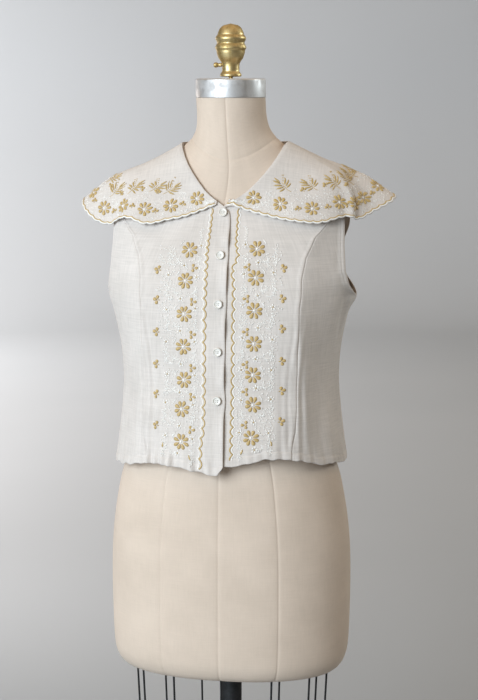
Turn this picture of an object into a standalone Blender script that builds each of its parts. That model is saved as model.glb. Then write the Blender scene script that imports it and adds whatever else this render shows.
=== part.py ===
"""A sleeveless button-front top with a wide cape collar, worn on a limbless dress form with its stand.

Metres, +Z up. The origin is on the floor under the pole, and the front of the top faces -Y.
Each piece that a maker would cut is one object, and it is one wall of cloth.
"""

import math

import bpy
import numpy as np
from mathutils import Matrix, Vector

# Cloth
CLOTH_THICKNESS = 0.0014
SEAM_GAP = 0.0003
HALF_GAP = SEAM_GAP / 2
LAYER_STEP = CLOTH_THICKNESS + 0.0005  # from the lower layer of an overlap to the upper one

# Buttons
BUTTON_RADIUS = 0.0064
BUTTON_LEVELS = (1.357, 1.267, 1.180, 1.111, 1.039)
BUTTON_SEGMENTS = 14
BUTTON_SEAT = 0.0007  # its thread shank, so that the flat back clears the curve of the cloth
BUTTON_FACE = 0.0022
BUTTON_RIM = 0.0030

# Stand
POLE_RADIUS = 0.0165
BASE_RADIUS = 0.270
BASE_TOP = 0.0300
SOCKET_TOP = 0.090
FORM_BOTTOM = 0.600
FORM_TOP = 1.4775
CAP_TOP = 1.5055
CAP_RADIUS = 0.0525
SCREW_HEIGHT = 0.0200  # over the cap
FINIAL_STEM_RADIUS = 0.0127  # at the screw
HOOP_LEVEL = 0.400
HOOP_RADIUS = 0.003
HOOP_HALF_WIDTH = 0.1430
HOOP_DEPTH = 0.0900
WIRE_TOP_HALF_WIDTH = 0.1520
WIRE_TOP_DEPTH = 0.0950
WIRE_RADIUS = 0.0016
WIRE_ANGLES = (0, 30, 64, 90, 115, 142, 180, 210, 240, 270, 300, 329)

# Directions round the body: 0 is the wearer's left side, -90 the front, 90 the back.
FRONT = -90.0

# Columns of both section tables: level of the ring's sides, half width, front depth, back depth,
# how far the front and the back of the ring lie below its sides, squareness of the ring's corners.
FORM_SECTIONS = np.array((
    (0.6000, 0.160, 0.098, 0.106, 0.000, 0.000, 2.30),
    (0.6035, 0.169, 0.106, 0.113, 0.000, 0.000, 2.30),
    (0.6120, 0.177, 0.114, 0.120, 0.000, 0.000, 2.30),
    (0.6300, 0.183, 0.120, 0.125, 0.000, 0.000, 2.30),
    (0.7000, 0.186, 0.122, 0.129, 0.000, 0.000, 2.30),
    (0.7700, 0.186, 0.122, 0.130, 0.000, 0.000, 2.30),
    (0.8200, 0.183, 0.121, 0.126, 0.000, 0.000, 2.30),
    (0.8700, 0.176, 0.119, 0.115, 0.000, 0.000, 2.30),
    (0.9150, 0.166, 0.115, 0.103, 0.000, 0.000, 2.30),
    (0.9600, 0.148, 0.108, 0.090, 0.000, 0.000, 2.30),
    (1.0000, 0.134, 0.101, 0.083, 0.000, 0.000, 2.25),
    (1.0400, 0.134, 0.101, 0.086, 0.000, 0.000, 2.25),
    (1.0900, 0.145, 0.105, 0.095, 0.000, 0.000, 2.35),
    (1.1400, 0.157, 0.108, 0.103, 0.000, 0.000, 2.50),
    (1.1800, 0.163, 0.106, 0.108, 0.000, 0.000, 2.50),
    (1.2200, 0.164, 0.100, 0.111, 0.005, 0.002, 2.45),
    (1.2600, 0.161, 0.090, 0.112, 0.015, 0.005, 2.35),
    (1.3000, 0.159, 0.079, 0.111, 0.030, 0.009, 2.25),
    (1.3350, 0.160, 0.070, 0.106, 0.042, 0.012, 2.15),
    (1.3500, 0.158, 0.0665, 0.102, 0.046, 0.013, 2.10),
    (1.3620, 0.150, 0.0635, 0.098, 0.048, 0.013, 2.05),
    (1.3750, 0.130, 0.060, 0.092, 0.048, 0.011, 2.00),
    (1.3900, 0.103, 0.0565, 0.084, 0.046, 0.007, 2.00),
    (1.4040, 0.080, 0.054, 0.074, 0.040, 0.002, 2.00),
    (1.4160, 0.066, 0.052, 0.065, 0.032, -0.003, 2.00),
    (1.4300, 0.0562, 0.0505, 0.059, 0.022, -0.003, 2.00),
    (1.4500, 0.0522, 0.0505, 0.054, 0.008, -0.001, 2.00),
    (1.4775, 0.0520, 0.051, 0.052, 0.000, 0.000, 2.00),
))

# The outer face of the top's cloth, from the hem to the neck. It hangs clear of the form below the bust.
TOP_SECTIONS = np.array((
    (0.928, 0.178, 0.136, 0.126, 0.000, 0.000, 2.35),
    (0.985, 0.171, 0.130, 0.117, 0.000, 0.000, 2.35),
    (1.040, 0.166, 0.123, 0.110, 0.000, 0.000, 2.35),
    (1.070, 0.1655, 0.1205, 0.108, 0.000, 0.000, 2.40),
    (1.110, 0.169, 0.1185, 0.109, 0.000, 0.000, 2.50),
    (1.150, 0.177, 0.115, 0.111, 0.000, 0.000, 2.60),
    (1.185, 0.186, 0.1105, 0.114, 0.000, 0.000, 2.60),
    (1.220, 0.187, 0.104, 0.117, 0.005, 0.002, 2.50),
    (1.260, 0.185, 0.095, 0.118, 0.015, 0.005, 2.40),
    (1.300, 0.181, 0.085, 0.117, 0.030, 0.009, 2.30),
    (1.335, 0.174, 0.075, 0.111, 0.042, 0.012, 2.20),
    (1.352, 0.165, 0.0700, 0.1055, 0.046, 0.013, 2.12),
    (1.3638, 0.1535, 0.0660, 0.1008, 0.048, 0.013, 2.06),
    (1.3769, 0.1314, 0.0623, 0.0943, 0.048, 0.011, 2.00),
    (1.3919, 0.1047, 0.0592, 0.0866, 0.046, 0.007, 2.00),
    (1.4058, 0.0822, 0.0568, 0.0768, 0.040, 0.002, 2.00),
    (1.4120, 0.0747, 0.0557, 0.0716, 0.036, 0.000, 2.00),
))

# The neck leans a little to the wearer's left, and the cloth over it does too: level, move along X.
LEAN = np.array((
    (1.350, 0.0000), (1.370, 0.0008), (1.385, 0.0030), (1.400, 0.0052), (1.412, 0.0058), (1.430, 0.0036),
    (1.450, 0.0016), (1.4775, 0.0000),
))

# Seam and edge lines on the top: level, and degrees towards the side from the centre front.
# A negative angle is past the centre: the two fronts overlap there. Higher up, this edge is the neckline.
FRONT_EDGE = np.array((
    (0.900, -3.7), (1.345, -3.7), (1.358, -3.2), (1.366, -1.0), (1.371, 2.0), (1.376, 6.0), (1.383, 13.0),
    (1.390, 21.0), (1.395, 29.0), (1.399, 38.0), (1.403, 50.0), (1.406, 62.0), (1.408, 74.0), (1.409, 80.0),
))
PRINCESS_SEAM = np.array((
    (0.900, 36.0), (0.950, 37.0), (0.980, 39.0), (1.030, 40.0), (1.080, 40.0), (1.130, 38.5), (1.175, 36.0),
    (1.220, 36.5), (1.255, 39.0), (1.290, 45.0), (1.307, 54.0), (1.317, 67.5), (1.318, 70.0),
))
# Level, and degrees towards the front or the back from the side seam.
ARMHOLE_FRONT = np.array((
    (1.186, 0.0), (1.189, 9.0), (1.196, 15.5), (1.206, 20.5), (1.227, 24.5), (1.262, 24.0), (1.300, 21.0),
    (1.318, 19.8), (1.335, 17.5), (1.350, 12.5), (1.359, 6.5), (1.364, 0.0),
))
ARMHOLE_BACK = np.array((
    (1.186, 0.0), (1.190, 9.0), (1.198, 16.0), (1.210, 21.5), (1.235, 26.0), (1.265, 26.5), (1.300, 23.5),
    (1.335, 17.5), (1.350, 12.0), (1.359, 6.0), (1.364, 0.0),
))
UNDERARM_LEVEL = 1.186
SHOULDER_TIP_LEVEL = 1.364
PRINCESS_TOP_LEVEL = 1.318
NECK_LEVEL = 1.409

# The hem: angle round the body, and its level there. The fronts dip at the buttons and rise over the
# princess seams.
HEM = np.array((
    (-185.0, 0.931), (-170.0, 0.931), (-149.0, 0.930), (-138.0, 0.934), (-124.0, 0.941), (-112.0, 0.940),
    (-105.0, 0.937), (-97.0, 0.933), (-91.0, 0.930), (-86.0, 0.934),
))
HEM_LEFT = np.array((
    (-95.0, 0.943), (-83.0, 0.944), (-78.0, 0.946), (-69.0, 0.953), (-64.0, 0.955), (-57.0, 0.954),
    (-49.0, 0.950), (-42.0, 0.945), (-33.0, 0.938), (-23.0, 0.937), (-8.0, 0.931), (5.0, 0.931),
))
HEM_BACK = np.array(((-5.0, 0.931), (25.0, 0.927), (90.0, 0.924), (155.0, 0.927), (185.0, 0.931)))
HEM_FADE = 0.110  # the rings below this height over the hem follow its curve

# The collar stands off the top's own surface: at its neck edge, partway out, and at its rim.
# Columns: degrees from the centre front, rim level, stand-off at the neck edge, partway, at the rim.
COLLAR_PARTWAY = 0.45  # as a share of the way from the neck edge to the rim
COLLAR_LEFT = np.array((
    (0.6, 1.3665, 0.0021, 0.0026, 0.0035), (4.0, 1.3680, 0.0021, 0.0026, 0.0036),
    (7.0, 1.3655, 0.0021, 0.0027, 0.0038), (10.0, 1.3615, 0.0021, 0.0027, 0.0039),
    (13.0, 1.3570, 0.0021, 0.0028, 0.0042), (20.0, 1.3470, 0.0021, 0.0030, 0.0048),
    (28.0, 1.3345, 0.0021, 0.0034, 0.0060), (34.0, 1.3250, 0.0021, 0.0040, 0.0079),
    (40.0, 1.3170, 0.0022, 0.0048, 0.0100), (46.0, 1.3105, 0.0024, 0.0056, 0.0116),
    (52.0, 1.3085, 0.0026, 0.0064, 0.0130), (60.0, 1.3085, 0.0030, 0.0074, 0.0140),
    (67.0, 1.3065, 0.0034, 0.0084, 0.0140), (72.0, 1.3010, 0.0037, 0.0092, 0.0200),
    (76.0, 1.2985, 0.0040, 0.0100, 0.0317), (82.0, 1.3030, 0.0044, 0.0115, 0.0520),
    (90.0, 1.3110, 0.0048, 0.0135, 0.0670), (98.0, 1.3175, 0.0048, 0.0150, 0.0740),
    (108.0, 1.3150, 0.0045, 0.0145, 0.0680), (120.0, 1.3060, 0.0040, 0.0115, 0.0500),
    (134.0, 1.2990, 0.0032, 0.0080, 0.0300), (150.0, 1.2960, 0.0028, 0.0060, 0.0200),
    (165.0, 1.2980, 0.0026, 0.0050, 0.0130), (180.0, 1.2960, 0.0025, 0.0050, 0.0150),
))
COLLAR_RIGHT = np.array((
    (4.5, 1.3685, 0.0021, 0.0026, 0.0036), (7.0, 1.3650, 0.0021, 0.0027, 0.0038),
    (10.0, 1.3600, 0.0021, 0.0027, 0.0039), (13.0, 1.3545, 0.0021, 0.0028, 0.0042),
    (20.0, 1.3415, 0.0021, 0.0030, 0.0050), (28.0, 1.3290, 0.0021, 0.0035, 0.0065),
    (34.0, 1.3170, 0.0021, 0.0042, 0.0085), (40.0, 1.3115, 0.0021, 0.0050, 0.0109),
    (46.0, 1.3135, 0.0021, 0.0058, 0.0136), (52.0, 1.3105, 0.0021, 0.0058, 0.0130),
    (60.0, 1.3005, 0.0021, 0.0050, 0.0083), (64.0, 1.2930, 0.0021, 0.0050, 0.0093),
    (68.0, 1.2900, 0.0021, 0.0052, 0.0160), (72.0, 1.2920, 0.0021, 0.0056, 0.0275),
    (78.0, 1.3005, 0.0022, 0.0064, 0.0407), (84.0, 1.3080, 0.0023, 0.0072, 0.0490),
    (90.0, 1.3100, 0.0024, 0.0078, 0.0540), (97.0, 1.3120, 0.0024, 0.0080, 0.0580),
    (107.0, 1.3120, 0.0024, 0.0078, 0.0540), (120.0, 1.3040, 0.0024, 0.0072, 0.0420),
    (134.0, 1.2980, 0.0024, 0.0062, 0.0280), (150.0, 1.2960, 0.0025, 0.0054, 0.0200),
    (165.0, 1.2980, 0.0025, 0.0050, 0.0130), (180.0, 1.2960, 0.0025, 0.0050, 0.0150),
))

FORM_COLOUR = (0.78, 0.69, 0.58)
LINEN_COLOUR = (0.80, 0.775, 0.73)
BUTTON_COLOUR = (0.90, 0.89, 0.85)
BLACK_COLOUR = (0.012, 0.012, 0.013)
BRASS_COLOUR = (0.62, 0.46, 0.20)
STEEL_COLOUR = (0.62, 0.62, 0.63)


def smooth_row(table, position):
    """The table's other columns at a position in its first column, on a smooth curve through the rows."""
    keys = table[:, 0]
    values = table[:, 1:]
    slopes = np.gradient(values, axis=0) / np.gradient(keys)[:, None]
    position = min(max(position, keys[0]), keys[-1])
    i = min(int(np.searchsorted(keys, position, side="right")) - 1, len(keys) - 2)
    step = keys[i + 1] - keys[i]
    t = (position - keys[i]) / step
    return (
        (1 + 2 * t) * (1 - t) ** 2 * values[i]
        + t * (1 - t) ** 2 * step * slopes[i]
        + t * t * (3 - 2 * t) * values[i + 1]
        + t * t * (t - 1) * step * slopes[i + 1]
    )


def line_at(table, level):
    """A seam line's angle at a level, in straight steps between the table's rows."""
    return float(np.interp(level, table[:, 0], table[:, 1]))


def smoothstep(low, high, value):
    """0 below low, 1 above high, and a smooth rise between."""
    t = min(max((value - low) / (high - low), 0.0), 1.0)
    return t * t * (3 - 2 * t)


def surface_point(sections, degrees, level):
    """A point of a body surface: superellipse rings whose front and back halves have their own depths."""
    half_width, front, back, front_drop, back_drop, power = smooth_row(sections, level)
    angle = math.radians(degrees)
    across, along = math.cos(angle), math.sin(angle)
    swell = (abs(across) ** power + abs(along) ** power) ** (-1 / power)
    depth, drop = (front, front_drop) if along < 0 else (back, back_drop)
    lean = float(smooth_row(LEAN, level)[0]) if level > LEAN[0, 0] else 0.0
    return Vector((
        half_width * across * swell + lean,
        depth * along * swell,
        level - drop * (along * swell) ** 2,
    ))


def surface_normal(sections, degrees, level):
    turn, rise = 0.1, 0.0005
    around = surface_point(sections, degrees + turn, level)
    around -= surface_point(sections, degrees - turn, level)
    upward = surface_point(sections, degrees, level + rise)
    upward -= surface_point(sections, degrees, level - rise)
    return around.cross(upward).normalized()


def raised_point(sections, degrees, level, stand_off):
    return surface_point(sections, degrees, level) + surface_normal(sections, degrees, level) * stand_off


def cloth_pair(degrees, level, lift):
    """A panel's outer and inner point at a place on the top's surface, with the cloth raised by lift."""
    outward = surface_normal(TOP_SECTIONS, degrees, level)
    outer = surface_point(TOP_SECTIONS, degrees, level) + outward * lift
    return outer, outer - outward * CLOTH_THICKNESS


def material(name, colour, roughness, metallic=0.0):
    made = bpy.data.materials.new(name)
    made.use_nodes = True
    shader = made.node_tree.nodes["Principled BSDF"]
    shader.inputs["Base Color"].default_value = (*colour, 1.0)
    shader.inputs["Roughness"].default_value = roughness
    shader.inputs["Metallic"].default_value = metallic
    made.diffuse_color = (*colour, 1.0)
    return made


def object_from(name, points, faces, finish):
    mesh = bpy.data.meshes.new(name)
    mesh.from_pydata([tuple(p) for p in points], [], faces)
    mesh.shade_smooth()
    mesh.materials.append(finish)
    made = bpy.data.objects.new(name, mesh)
    bpy.context.scene.collection.objects.link(made)
    return made


def cloth_wall(name, rows, finish):
    """A closed wall from a grid of (outer point, inner point) pairs, seen from outside with rows upward."""
    high, wide = len(rows), len(rows[0])
    points = [pair[0] for row in rows for pair in row] + [pair[1] for row in rows for pair in row]
    shift = high * wide
    faces = []
    for i in range(high - 1):
        for j in range(wide - 1):
            a = i * wide + j
            faces.append((a, a + 1, a + 1 + wide, a + wide))
            faces.append((a + shift, a + wide + shift, a + 1 + wide + shift, a + 1 + shift))
    border = list(range(wide - 1))
    border += [i * wide + wide - 1 for i in range(high - 1)]
    border += [(high - 1) * wide + j for j in range(wide - 1, 0, -1)]
    border += [i * wide for i in range(high - 1, 0, -1)]
    for a, b in zip(border, border[1:] + border[:1]):
        faces.append((b, a, a + shift, b + shift))
    made = object_from(name, points, faces, finish)
    made.data.set_sharp_from_angle(angle=math.radians(40))
    return made


def offset_sheet(rows, depth):
    """Pairs each point of a free sheet with one a cloth's thickness behind it, square to the sheet there."""
    high, wide = len(rows), len(rows[0])
    pairs = []
    for i in range(high):
        row = []
        for j in range(wide):
            across = rows[i][min(j + 1, wide - 1)] - rows[i][max(j - 1, 0)]
            upward = rows[min(i + 1, high - 1)][j] - rows[max(i - 1, 0)][j]
            row.append((rows[i][j], rows[i][j] - depth * across.cross(upward).normalized()))
        pairs.append(row)
    return pairs


def tube(name, rows, finish, closed=True):
    """A closed solid through rings of points, with a flat cap at each end."""
    count = len(rows[0])
    points = [p for row in rows for p in row]
    faces = []
    for i in range(len(rows) - 1):
        for j in range(count):
            a, b = i * count + j, i * count + (j + 1) % count
            faces.append((a, b, b + count, a + count))
    faces.append(tuple(reversed(range(count))))
    faces.append(tuple(range(len(points) - count, len(points))))
    return object_from(name, points, faces, finish)


def turned(name, profile, segments, finish, place=Matrix.Identity(4)):
    """A solid turned about its own Z axis from (radius, height) pairs, bottom to top."""
    points, rings = [], []
    for radius, height in profile:
        if radius == 0:
            rings.append([len(points)])
            points.append(Vector((0, 0, height)))
            continue
        rings.append([len(points) + k for k in range(segments)])
        for k in range(segments):
            angle = 2 * math.pi * k / segments
            points.append(Vector((radius * math.cos(angle), radius * math.sin(angle), height)))
    faces = []
    for low, high in zip(rings, rings[1:]):
        for k in range(segments):
            m = (k + 1) % segments
            if len(low) == 1:
                faces.append((low[0], high[m], high[k]))
            elif len(high) == 1:
                faces.append((low[k], low[m], high[0]))
            else:
                faces.append((low[k], low[m], high[m], high[k]))
    made = object_from(name, points, faces, finish)
    made.data.set_sharp_from_angle(angle=math.radians(40))
    made.matrix_world = place
    return made


def spread(low, high, count):
    return [low + (high - low) * k / (count - 1) for k in range(count)]


def hem_level(hem, degrees, level, start):
    """A ring level near the hem, moved so that the lowest ring runs along the hem."""
    bottom = float(smooth_row(hem, degrees)[0])
    share = 1 - smoothstep(start, start + HEM_FADE, level)
    return level + (bottom - start) * share


def edge_gap(degrees, level, slant=0.0):
    """Half the seam gap as degrees round the body. Slant is how fast the seam turns, in degrees per metre."""
    step = 0.5
    before = surface_point(TOP_SECTIONS, degrees - step, level)
    after = surface_point(TOP_SECTIONS, degrees + step, level)
    per_degree = (after - before).length / (2 * step)
    return HALF_GAP / per_degree * math.hypot(1, slant * per_degree)


def princess_slant(level):
    reach = 0.004
    return (line_at(PRINCESS_SEAM, level + reach) - line_at(PRINCESS_SEAM, level - reach)) / (2 * reach)


def placket_lift(from_centre):
    """The upper front lies over the lower one."""
    return LAYER_STEP * (1 - smoothstep(5.0, 9.0, from_centre))


def edge_curl(from_centre, level):
    """The upper front's free edge stands a little proud between the buttons."""
    nearest = min(abs(level - b) for b in BUTTON_LEVELS)
    slack = smoothstep(0.008, 0.034, nearest) * (1 - smoothstep(1.30, 1.34, level))
    return 0.0022 * slack * (1 - smoothstep(-3.7, 1.5, from_centre))


def side_fold(from_centre, level):
    """Soft upright folds of the side panels below the bust, deepest at the hem."""
    depth = 0.0022 * (1 - smoothstep(0.96, 1.12, level))
    return depth * (math.cos(math.radians((from_centre - 40) * 14)) - 1) / 2


def front_panel(name, side, rows, columns, finish):
    """A centre front, from its free edge to the princess seam, then the armhole and the shoulder seam."""
    grid = []
    for level in rows:
        inner = line_at(FRONT_EDGE, level)
        slant = 0.0
        if level <= PRINCESS_TOP_LEVEL:
            outer = line_at(PRINCESS_SEAM, level)
            slant = princess_slant(level)
        elif level < SHOULDER_TIP_LEVEL:
            outer = 90.0 - line_at(ARMHOLE_FRONT, level)
        else:
            outer = 90.0
        row = []
        for from_centre in spread(inner, outer - edge_gap(FRONT + outer, level, slant), columns):
            degrees = FRONT + side * from_centre
            hem = HEM_LEFT if side > 0 else HEM
            ring = hem_level(hem, degrees, level, rows[0])
            lift = 0.0
            if side < 0:
                lift = placket_lift(from_centre) + edge_curl(from_centre, ring)
            row.append(cloth_pair(degrees, ring, lift))
        grid.append(row if side > 0 else row[::-1])
    return cloth_wall(name, grid, finish)


def side_panel(name, side, rows, columns, finish):
    """A side front, from the princess seam to the side seam, then up the armhole."""
    grid = []
    for level in rows:
        inner = line_at(PRINCESS_SEAM, level)
        outer = 90.0
        if level > UNDERARM_LEVEL:
            outer -= line_at(ARMHOLE_FRONT, level)
        gap = edge_gap(FRONT + inner, level, princess_slant(level))
        side_gap = edge_gap(0, level) if level <= UNDERARM_LEVEL else 0.0
        row = []
        for from_centre in spread(inner + gap, outer - side_gap, columns):
            degrees = FRONT + side * from_centre
            hem = HEM_LEFT if side > 0 else HEM
            ring = hem_level(hem, degrees, level, rows[0])
            edge = smoothstep(inner, inner + 8, from_centre) * (1 - smoothstep(82, 90, from_centre))
            row.append(cloth_pair(degrees, ring, side_fold(from_centre, ring) * edge))
        grid.append(row if side > 0 else row[::-1])
    return cloth_wall(name, grid, finish)


def back_panel(name, rows, columns, finish):
    """The back in one piece, from side seam to side seam, with the armholes, shoulder seams and neck edge."""
    grid = []
    for level in rows:
        start = edge_gap(0, level)
        if UNDERARM_LEVEL < level < SHOULDER_TIP_LEVEL:
            start = max(start, line_at(ARMHOLE_BACK, level))
        row = []
        for degrees in spread(start, 180.0 - start, columns):
            ring = hem_level(HEM_BACK, degrees, level, rows[0])
            row.append(cloth_pair(degrees, ring, 0.0))
        grid.append(row)
    return cloth_wall(name, grid, finish)


def neckline_level(from_centre):
    """The neckline's level at an angle from the centre front: the front edge table read the other way."""
    if from_centre >= 80.0:
        return NECK_LEVEL
    start = 3
    return float(np.interp(from_centre, FRONT_EDGE[start:, 1], FRONT_EDGE[start:, 0]))


def collar(name, columns, row_shares, finish):
    """The cape collar in one piece, from its left front corner round the back to its right front corner."""
    grid = []
    for share in row_shares:
        row = []
        for turn in spread(COLLAR_LEFT[0, 0], 360 - COLLAR_RIGHT[0, 0], columns):
            from_centre = min(turn, 360 - turn)
            half = COLLAR_LEFT if turn <= 180 else COLLAR_RIGHT
            rim_level, at_neck, partway, at_rim = smooth_row(half, from_centre)
            top_level = neckline_level(from_centre)
            level = top_level + (rim_level - top_level) * share
            profile = np.array(((0.0, at_neck), (COLLAR_PARTWAY, partway), (1.0, at_rim)))
            stand_off = float(smooth_row(profile, share)[0])
            stand_off += LAYER_STEP * (1 - smoothstep(6.0, 12.0, from_centre))
            row.append(raised_point(TOP_SECTIONS, FRONT + turn, level, stand_off))
        grid.append(row)
    return cloth_wall(name, offset_sheet(grid[::-1], CLOTH_THICKNESS), finish)


def button(name, level, finish):
    """A flat round button with a raised rim, square to the cloth that it lies on."""
    lift = LAYER_STEP + BUTTON_SEAT
    place = raised_point(TOP_SECTIONS, FRONT, level, lift)
    outward = surface_normal(TOP_SECTIONS, FRONT, level)
    turn = outward.to_track_quat("Z", "Y").to_matrix().to_4x4()
    profile = (
        (0.0, 0.0),
        (BUTTON_RADIUS * 0.80, 0.0),
        (BUTTON_RADIUS, 0.0012),
        (BUTTON_RADIUS * 0.96, 0.0026),
        (BUTTON_RADIUS * 0.84, BUTTON_RIM),
        (BUTTON_RADIUS * 0.68, BUTTON_FACE),
        (0.0, BUTTON_FACE),
    )
    return turned(name, profile, BUTTON_SEGMENTS, finish, Matrix.Translation(place) @ turn)


def dress_form(finish):
    levels = [0.6000, 0.6035, 0.6120, 0.6300, 0.6650, 0.7000, 0.7350, 0.7700, 0.8000, 0.8300, 0.8600, 0.8900]
    levels += [0.9200, 0.9450, 0.9700, 1.0000, 1.0300, 1.0600, 1.1000, 1.1400, 1.1800, 1.2200, 1.2600, 1.3000]
    levels += [1.3250, 1.3420, 1.3520, 1.3620, 1.3750, 1.3900, 1.4040, 1.4160, 1.4300, 1.4500, FORM_TOP]
    columns = 36
    rows = []
    for level in levels:
        rows.append([surface_point(FORM_SECTIONS, 360 * k / columns, level) for k in range(columns)])
    return tube("dress_form", rows, finish)


def neck_cap(finish):
    bottom, bevel = FORM_TOP + SEAM_GAP, 0.001
    profile = (
        (0.0, bottom), (CAP_RADIUS, bottom), (CAP_RADIUS, CAP_TOP - bevel), (CAP_RADIUS - bevel, CAP_TOP),
        (0.0, CAP_TOP),
    )
    return turned("neck_cap", profile, 36, finish)


def finial(finish):
    """The turned brass knob on the neck: radius and height over its seat."""
    seat = CAP_TOP + SEAM_GAP
    shape = (
        (0.0, 0.0), (0.0120, 0.0), (0.0158, 0.0020), (0.0158, 0.0055), (0.0122, 0.0110), (0.0116, 0.0150),
        (0.0127, 0.0200), (0.0140, 0.0240), (0.0184, 0.0300), (0.0208, 0.0370), (0.0216, 0.0415),
        (0.0231, 0.0445), (0.0222, 0.0485), (0.0204, 0.0517), (0.0212, 0.0545), (0.0228, 0.0580),
        (0.0222, 0.0610), (0.0200, 0.0640), (0.0191, 0.0670), (0.0160, 0.0735), (0.0105, 0.0780),
        (0.0, 0.0805),
    )
    return turned("finial", [(r, seat + h) for r, h in shape], 24, finish)


def finial_screw(finish):
    """The thumb screw in the finial's stem, pointing to the wearer's right."""
    start = FINIAL_STEM_RADIUS + 3 * SEAM_GAP
    profile = (
        (0.0, 0.0), (0.0028, 0.0), (0.0028, 0.0040), (0.0022, 0.0050), (0.0034, 0.0062), (0.0040, 0.0090),
        (0.0034, 0.0116), (0.0, 0.0128),
    )
    turn = Matrix.Rotation(math.radians(-90), 4, "Y")
    place = Matrix.Translation((-start, 0, CAP_TOP + SCREW_HEIGHT)) @ turn
    return turned("finial_screw", profile, 12, finish, place)


def pole(finish):
    """The pole with the socket at its foot, which stands on the base."""
    low, high = BASE_TOP + SEAM_GAP, FORM_BOTTOM - SEAM_GAP
    profile = (
        (0.0, low), (0.045, low), (0.045, 0.037), (0.034, 0.047), (0.0275, 0.066), (0.026, SOCKET_TOP),
        (POLE_RADIUS, SOCKET_TOP), (POLE_RADIUS, high), (0.0, high),
    )
    return turned("pole", profile, 24, finish)


def base(finish):
    """The stand's weighted foot: a low domed disc."""
    edge = BASE_RADIUS
    profile = (
        (0.0, 0.0), (edge - 0.004, 0.0), (edge, 0.004), (edge, 0.013), (edge - 0.005, 0.018),
        (0.160, 0.0255), (0.060, BASE_TOP), (0.0, BASE_TOP),
    )
    return turned("base", profile, 40, finish)


def cage_point(degrees, level, half_width, depth):
    angle = math.radians(degrees)
    return Vector((half_width * math.cos(angle), depth * math.sin(angle), level))


def cage_hoop(finish):
    """The oval hoop that closes the cage's lower end."""
    around, sides = 40, 6
    points, faces = [], []
    for k in range(around):
        centre = cage_point(360 * k / around, HOOP_LEVEL, HOOP_HALF_WIDTH, HOOP_DEPTH)
        outward = Vector((centre.x / HOOP_HALF_WIDTH**2, centre.y / HOOP_DEPTH**2, 0)).normalized()
        for m in range(sides):
            angle = 2 * math.pi * (m + 0.5) / sides
            ring = outward * math.cos(angle) + Vector((0, 0, math.sin(angle)))
            points.append(centre + HOOP_RADIUS * ring)
    for k in range(around):
        for m in range(sides):
            a, b = k * sides, (k + 1) % around * sides
            n = (m + 1) % sides
            faces.append((a + m, b + m, b + n, a + n))
    return object_from("cage_hoop", points, faces, finish)


def cage_wires(finish):
    """Twelve rods from the form's underside to the hoop, leaning in a little on their way down."""
    made = []
    for index, degrees in enumerate(WIRE_ANGLES):
        top = cage_point(degrees, FORM_BOTTOM - SEAM_GAP, WIRE_TOP_HALF_WIDTH, WIRE_TOP_DEPTH)
        foot_level = HOOP_LEVEL + HOOP_RADIUS + SEAM_GAP
        foot = cage_point(degrees, foot_level, HOOP_HALF_WIDTH, HOOP_DEPTH)
        rings = []
        for centre in (foot, top):
            ring = []
            for k in range(8):
                angle = 2 * math.pi * k / 8
                ring.append(centre + WIRE_RADIUS * Vector((math.cos(angle), math.sin(angle), 0)))
            rings.append(ring)
        made.append(tube(f"cage_wire_{index + 1:02d}", rings, finish))
    return made


def main():
    for leftover in list(bpy.data.objects):
        bpy.data.objects.remove(leftover)

    linen = material("linen", LINEN_COLOUR, 0.85)
    canvas = material("canvas", FORM_COLOUR, 0.80)
    button_plastic = material("button", BUTTON_COLOUR, 0.35)
    black = material("black_iron", BLACK_COLOUR, 0.45)
    brass = material("brass", BRASS_COLOUR, 0.30, 1.0)
    steel = material("steel", STEEL_COLOUR, 0.32, 1.0)

    body_rows = [0.930, 0.950, 0.975, 1.005, 1.040, 1.075, 1.110, 1.145, 1.175, 1.186]
    armhole_rows = [1.190, 1.197, 1.208, 1.225, 1.247, 1.272, 1.295]
    upper_rows = [1.303, 1.308, 1.3125, 1.3165, 1.3195, 1.334, 1.345, 1.354, 1.360, 1.364]
    neck_rows = [1.369, 1.375, 1.381, 1.387, 1.392, 1.3965, 1.4005, 1.404, 1.4067, NECK_LEVEL]
    front_rows = body_rows + armhole_rows + upper_rows + neck_rows
    side_rows = body_rows + armhole_rows + upper_rows[:4]
    back_rows = body_rows + armhole_rows + upper_rows[5:]
    back_rows += [1.372, 1.380, 1.388, 1.395, 1.401, 1.4055, NECK_LEVEL]

    front_panel("front_left", 1, front_rows, 10, linen)
    front_panel("front_right", -1, front_rows, 12, linen)
    side_panel("side_front_left", 1, side_rows, 9, linen)
    side_panel("side_front_right", -1, side_rows, 9, linen)
    back_panel("back", back_rows, 25, linen)
    collar("collar", 81, [0.0, 0.16, 0.32, 0.46, 0.60, 0.74, 0.88, 1.0], linen)
    for number, level in enumerate(BUTTON_LEVELS, 1):
        button(f"button_{number}", level, button_plastic)

    dress_form(canvas)
    neck_cap(steel)
    finial(brass)
    finial_screw(brass)
    pole(black)
    base(black)
    cage_hoop(black)
    cage_wires(black)


main()
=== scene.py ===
"""The looks of an embroidered sleeveless top on its dress form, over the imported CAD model.

Metres, +Z up, the front faces -Y. The cloth shells, seams, embroidery and hardware are built here
from the same section tables as the solids, so each one lies where its solid does.
"""

import math
import random

import bpy
import numpy as np
from mathutils import Matrix, Vector


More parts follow.
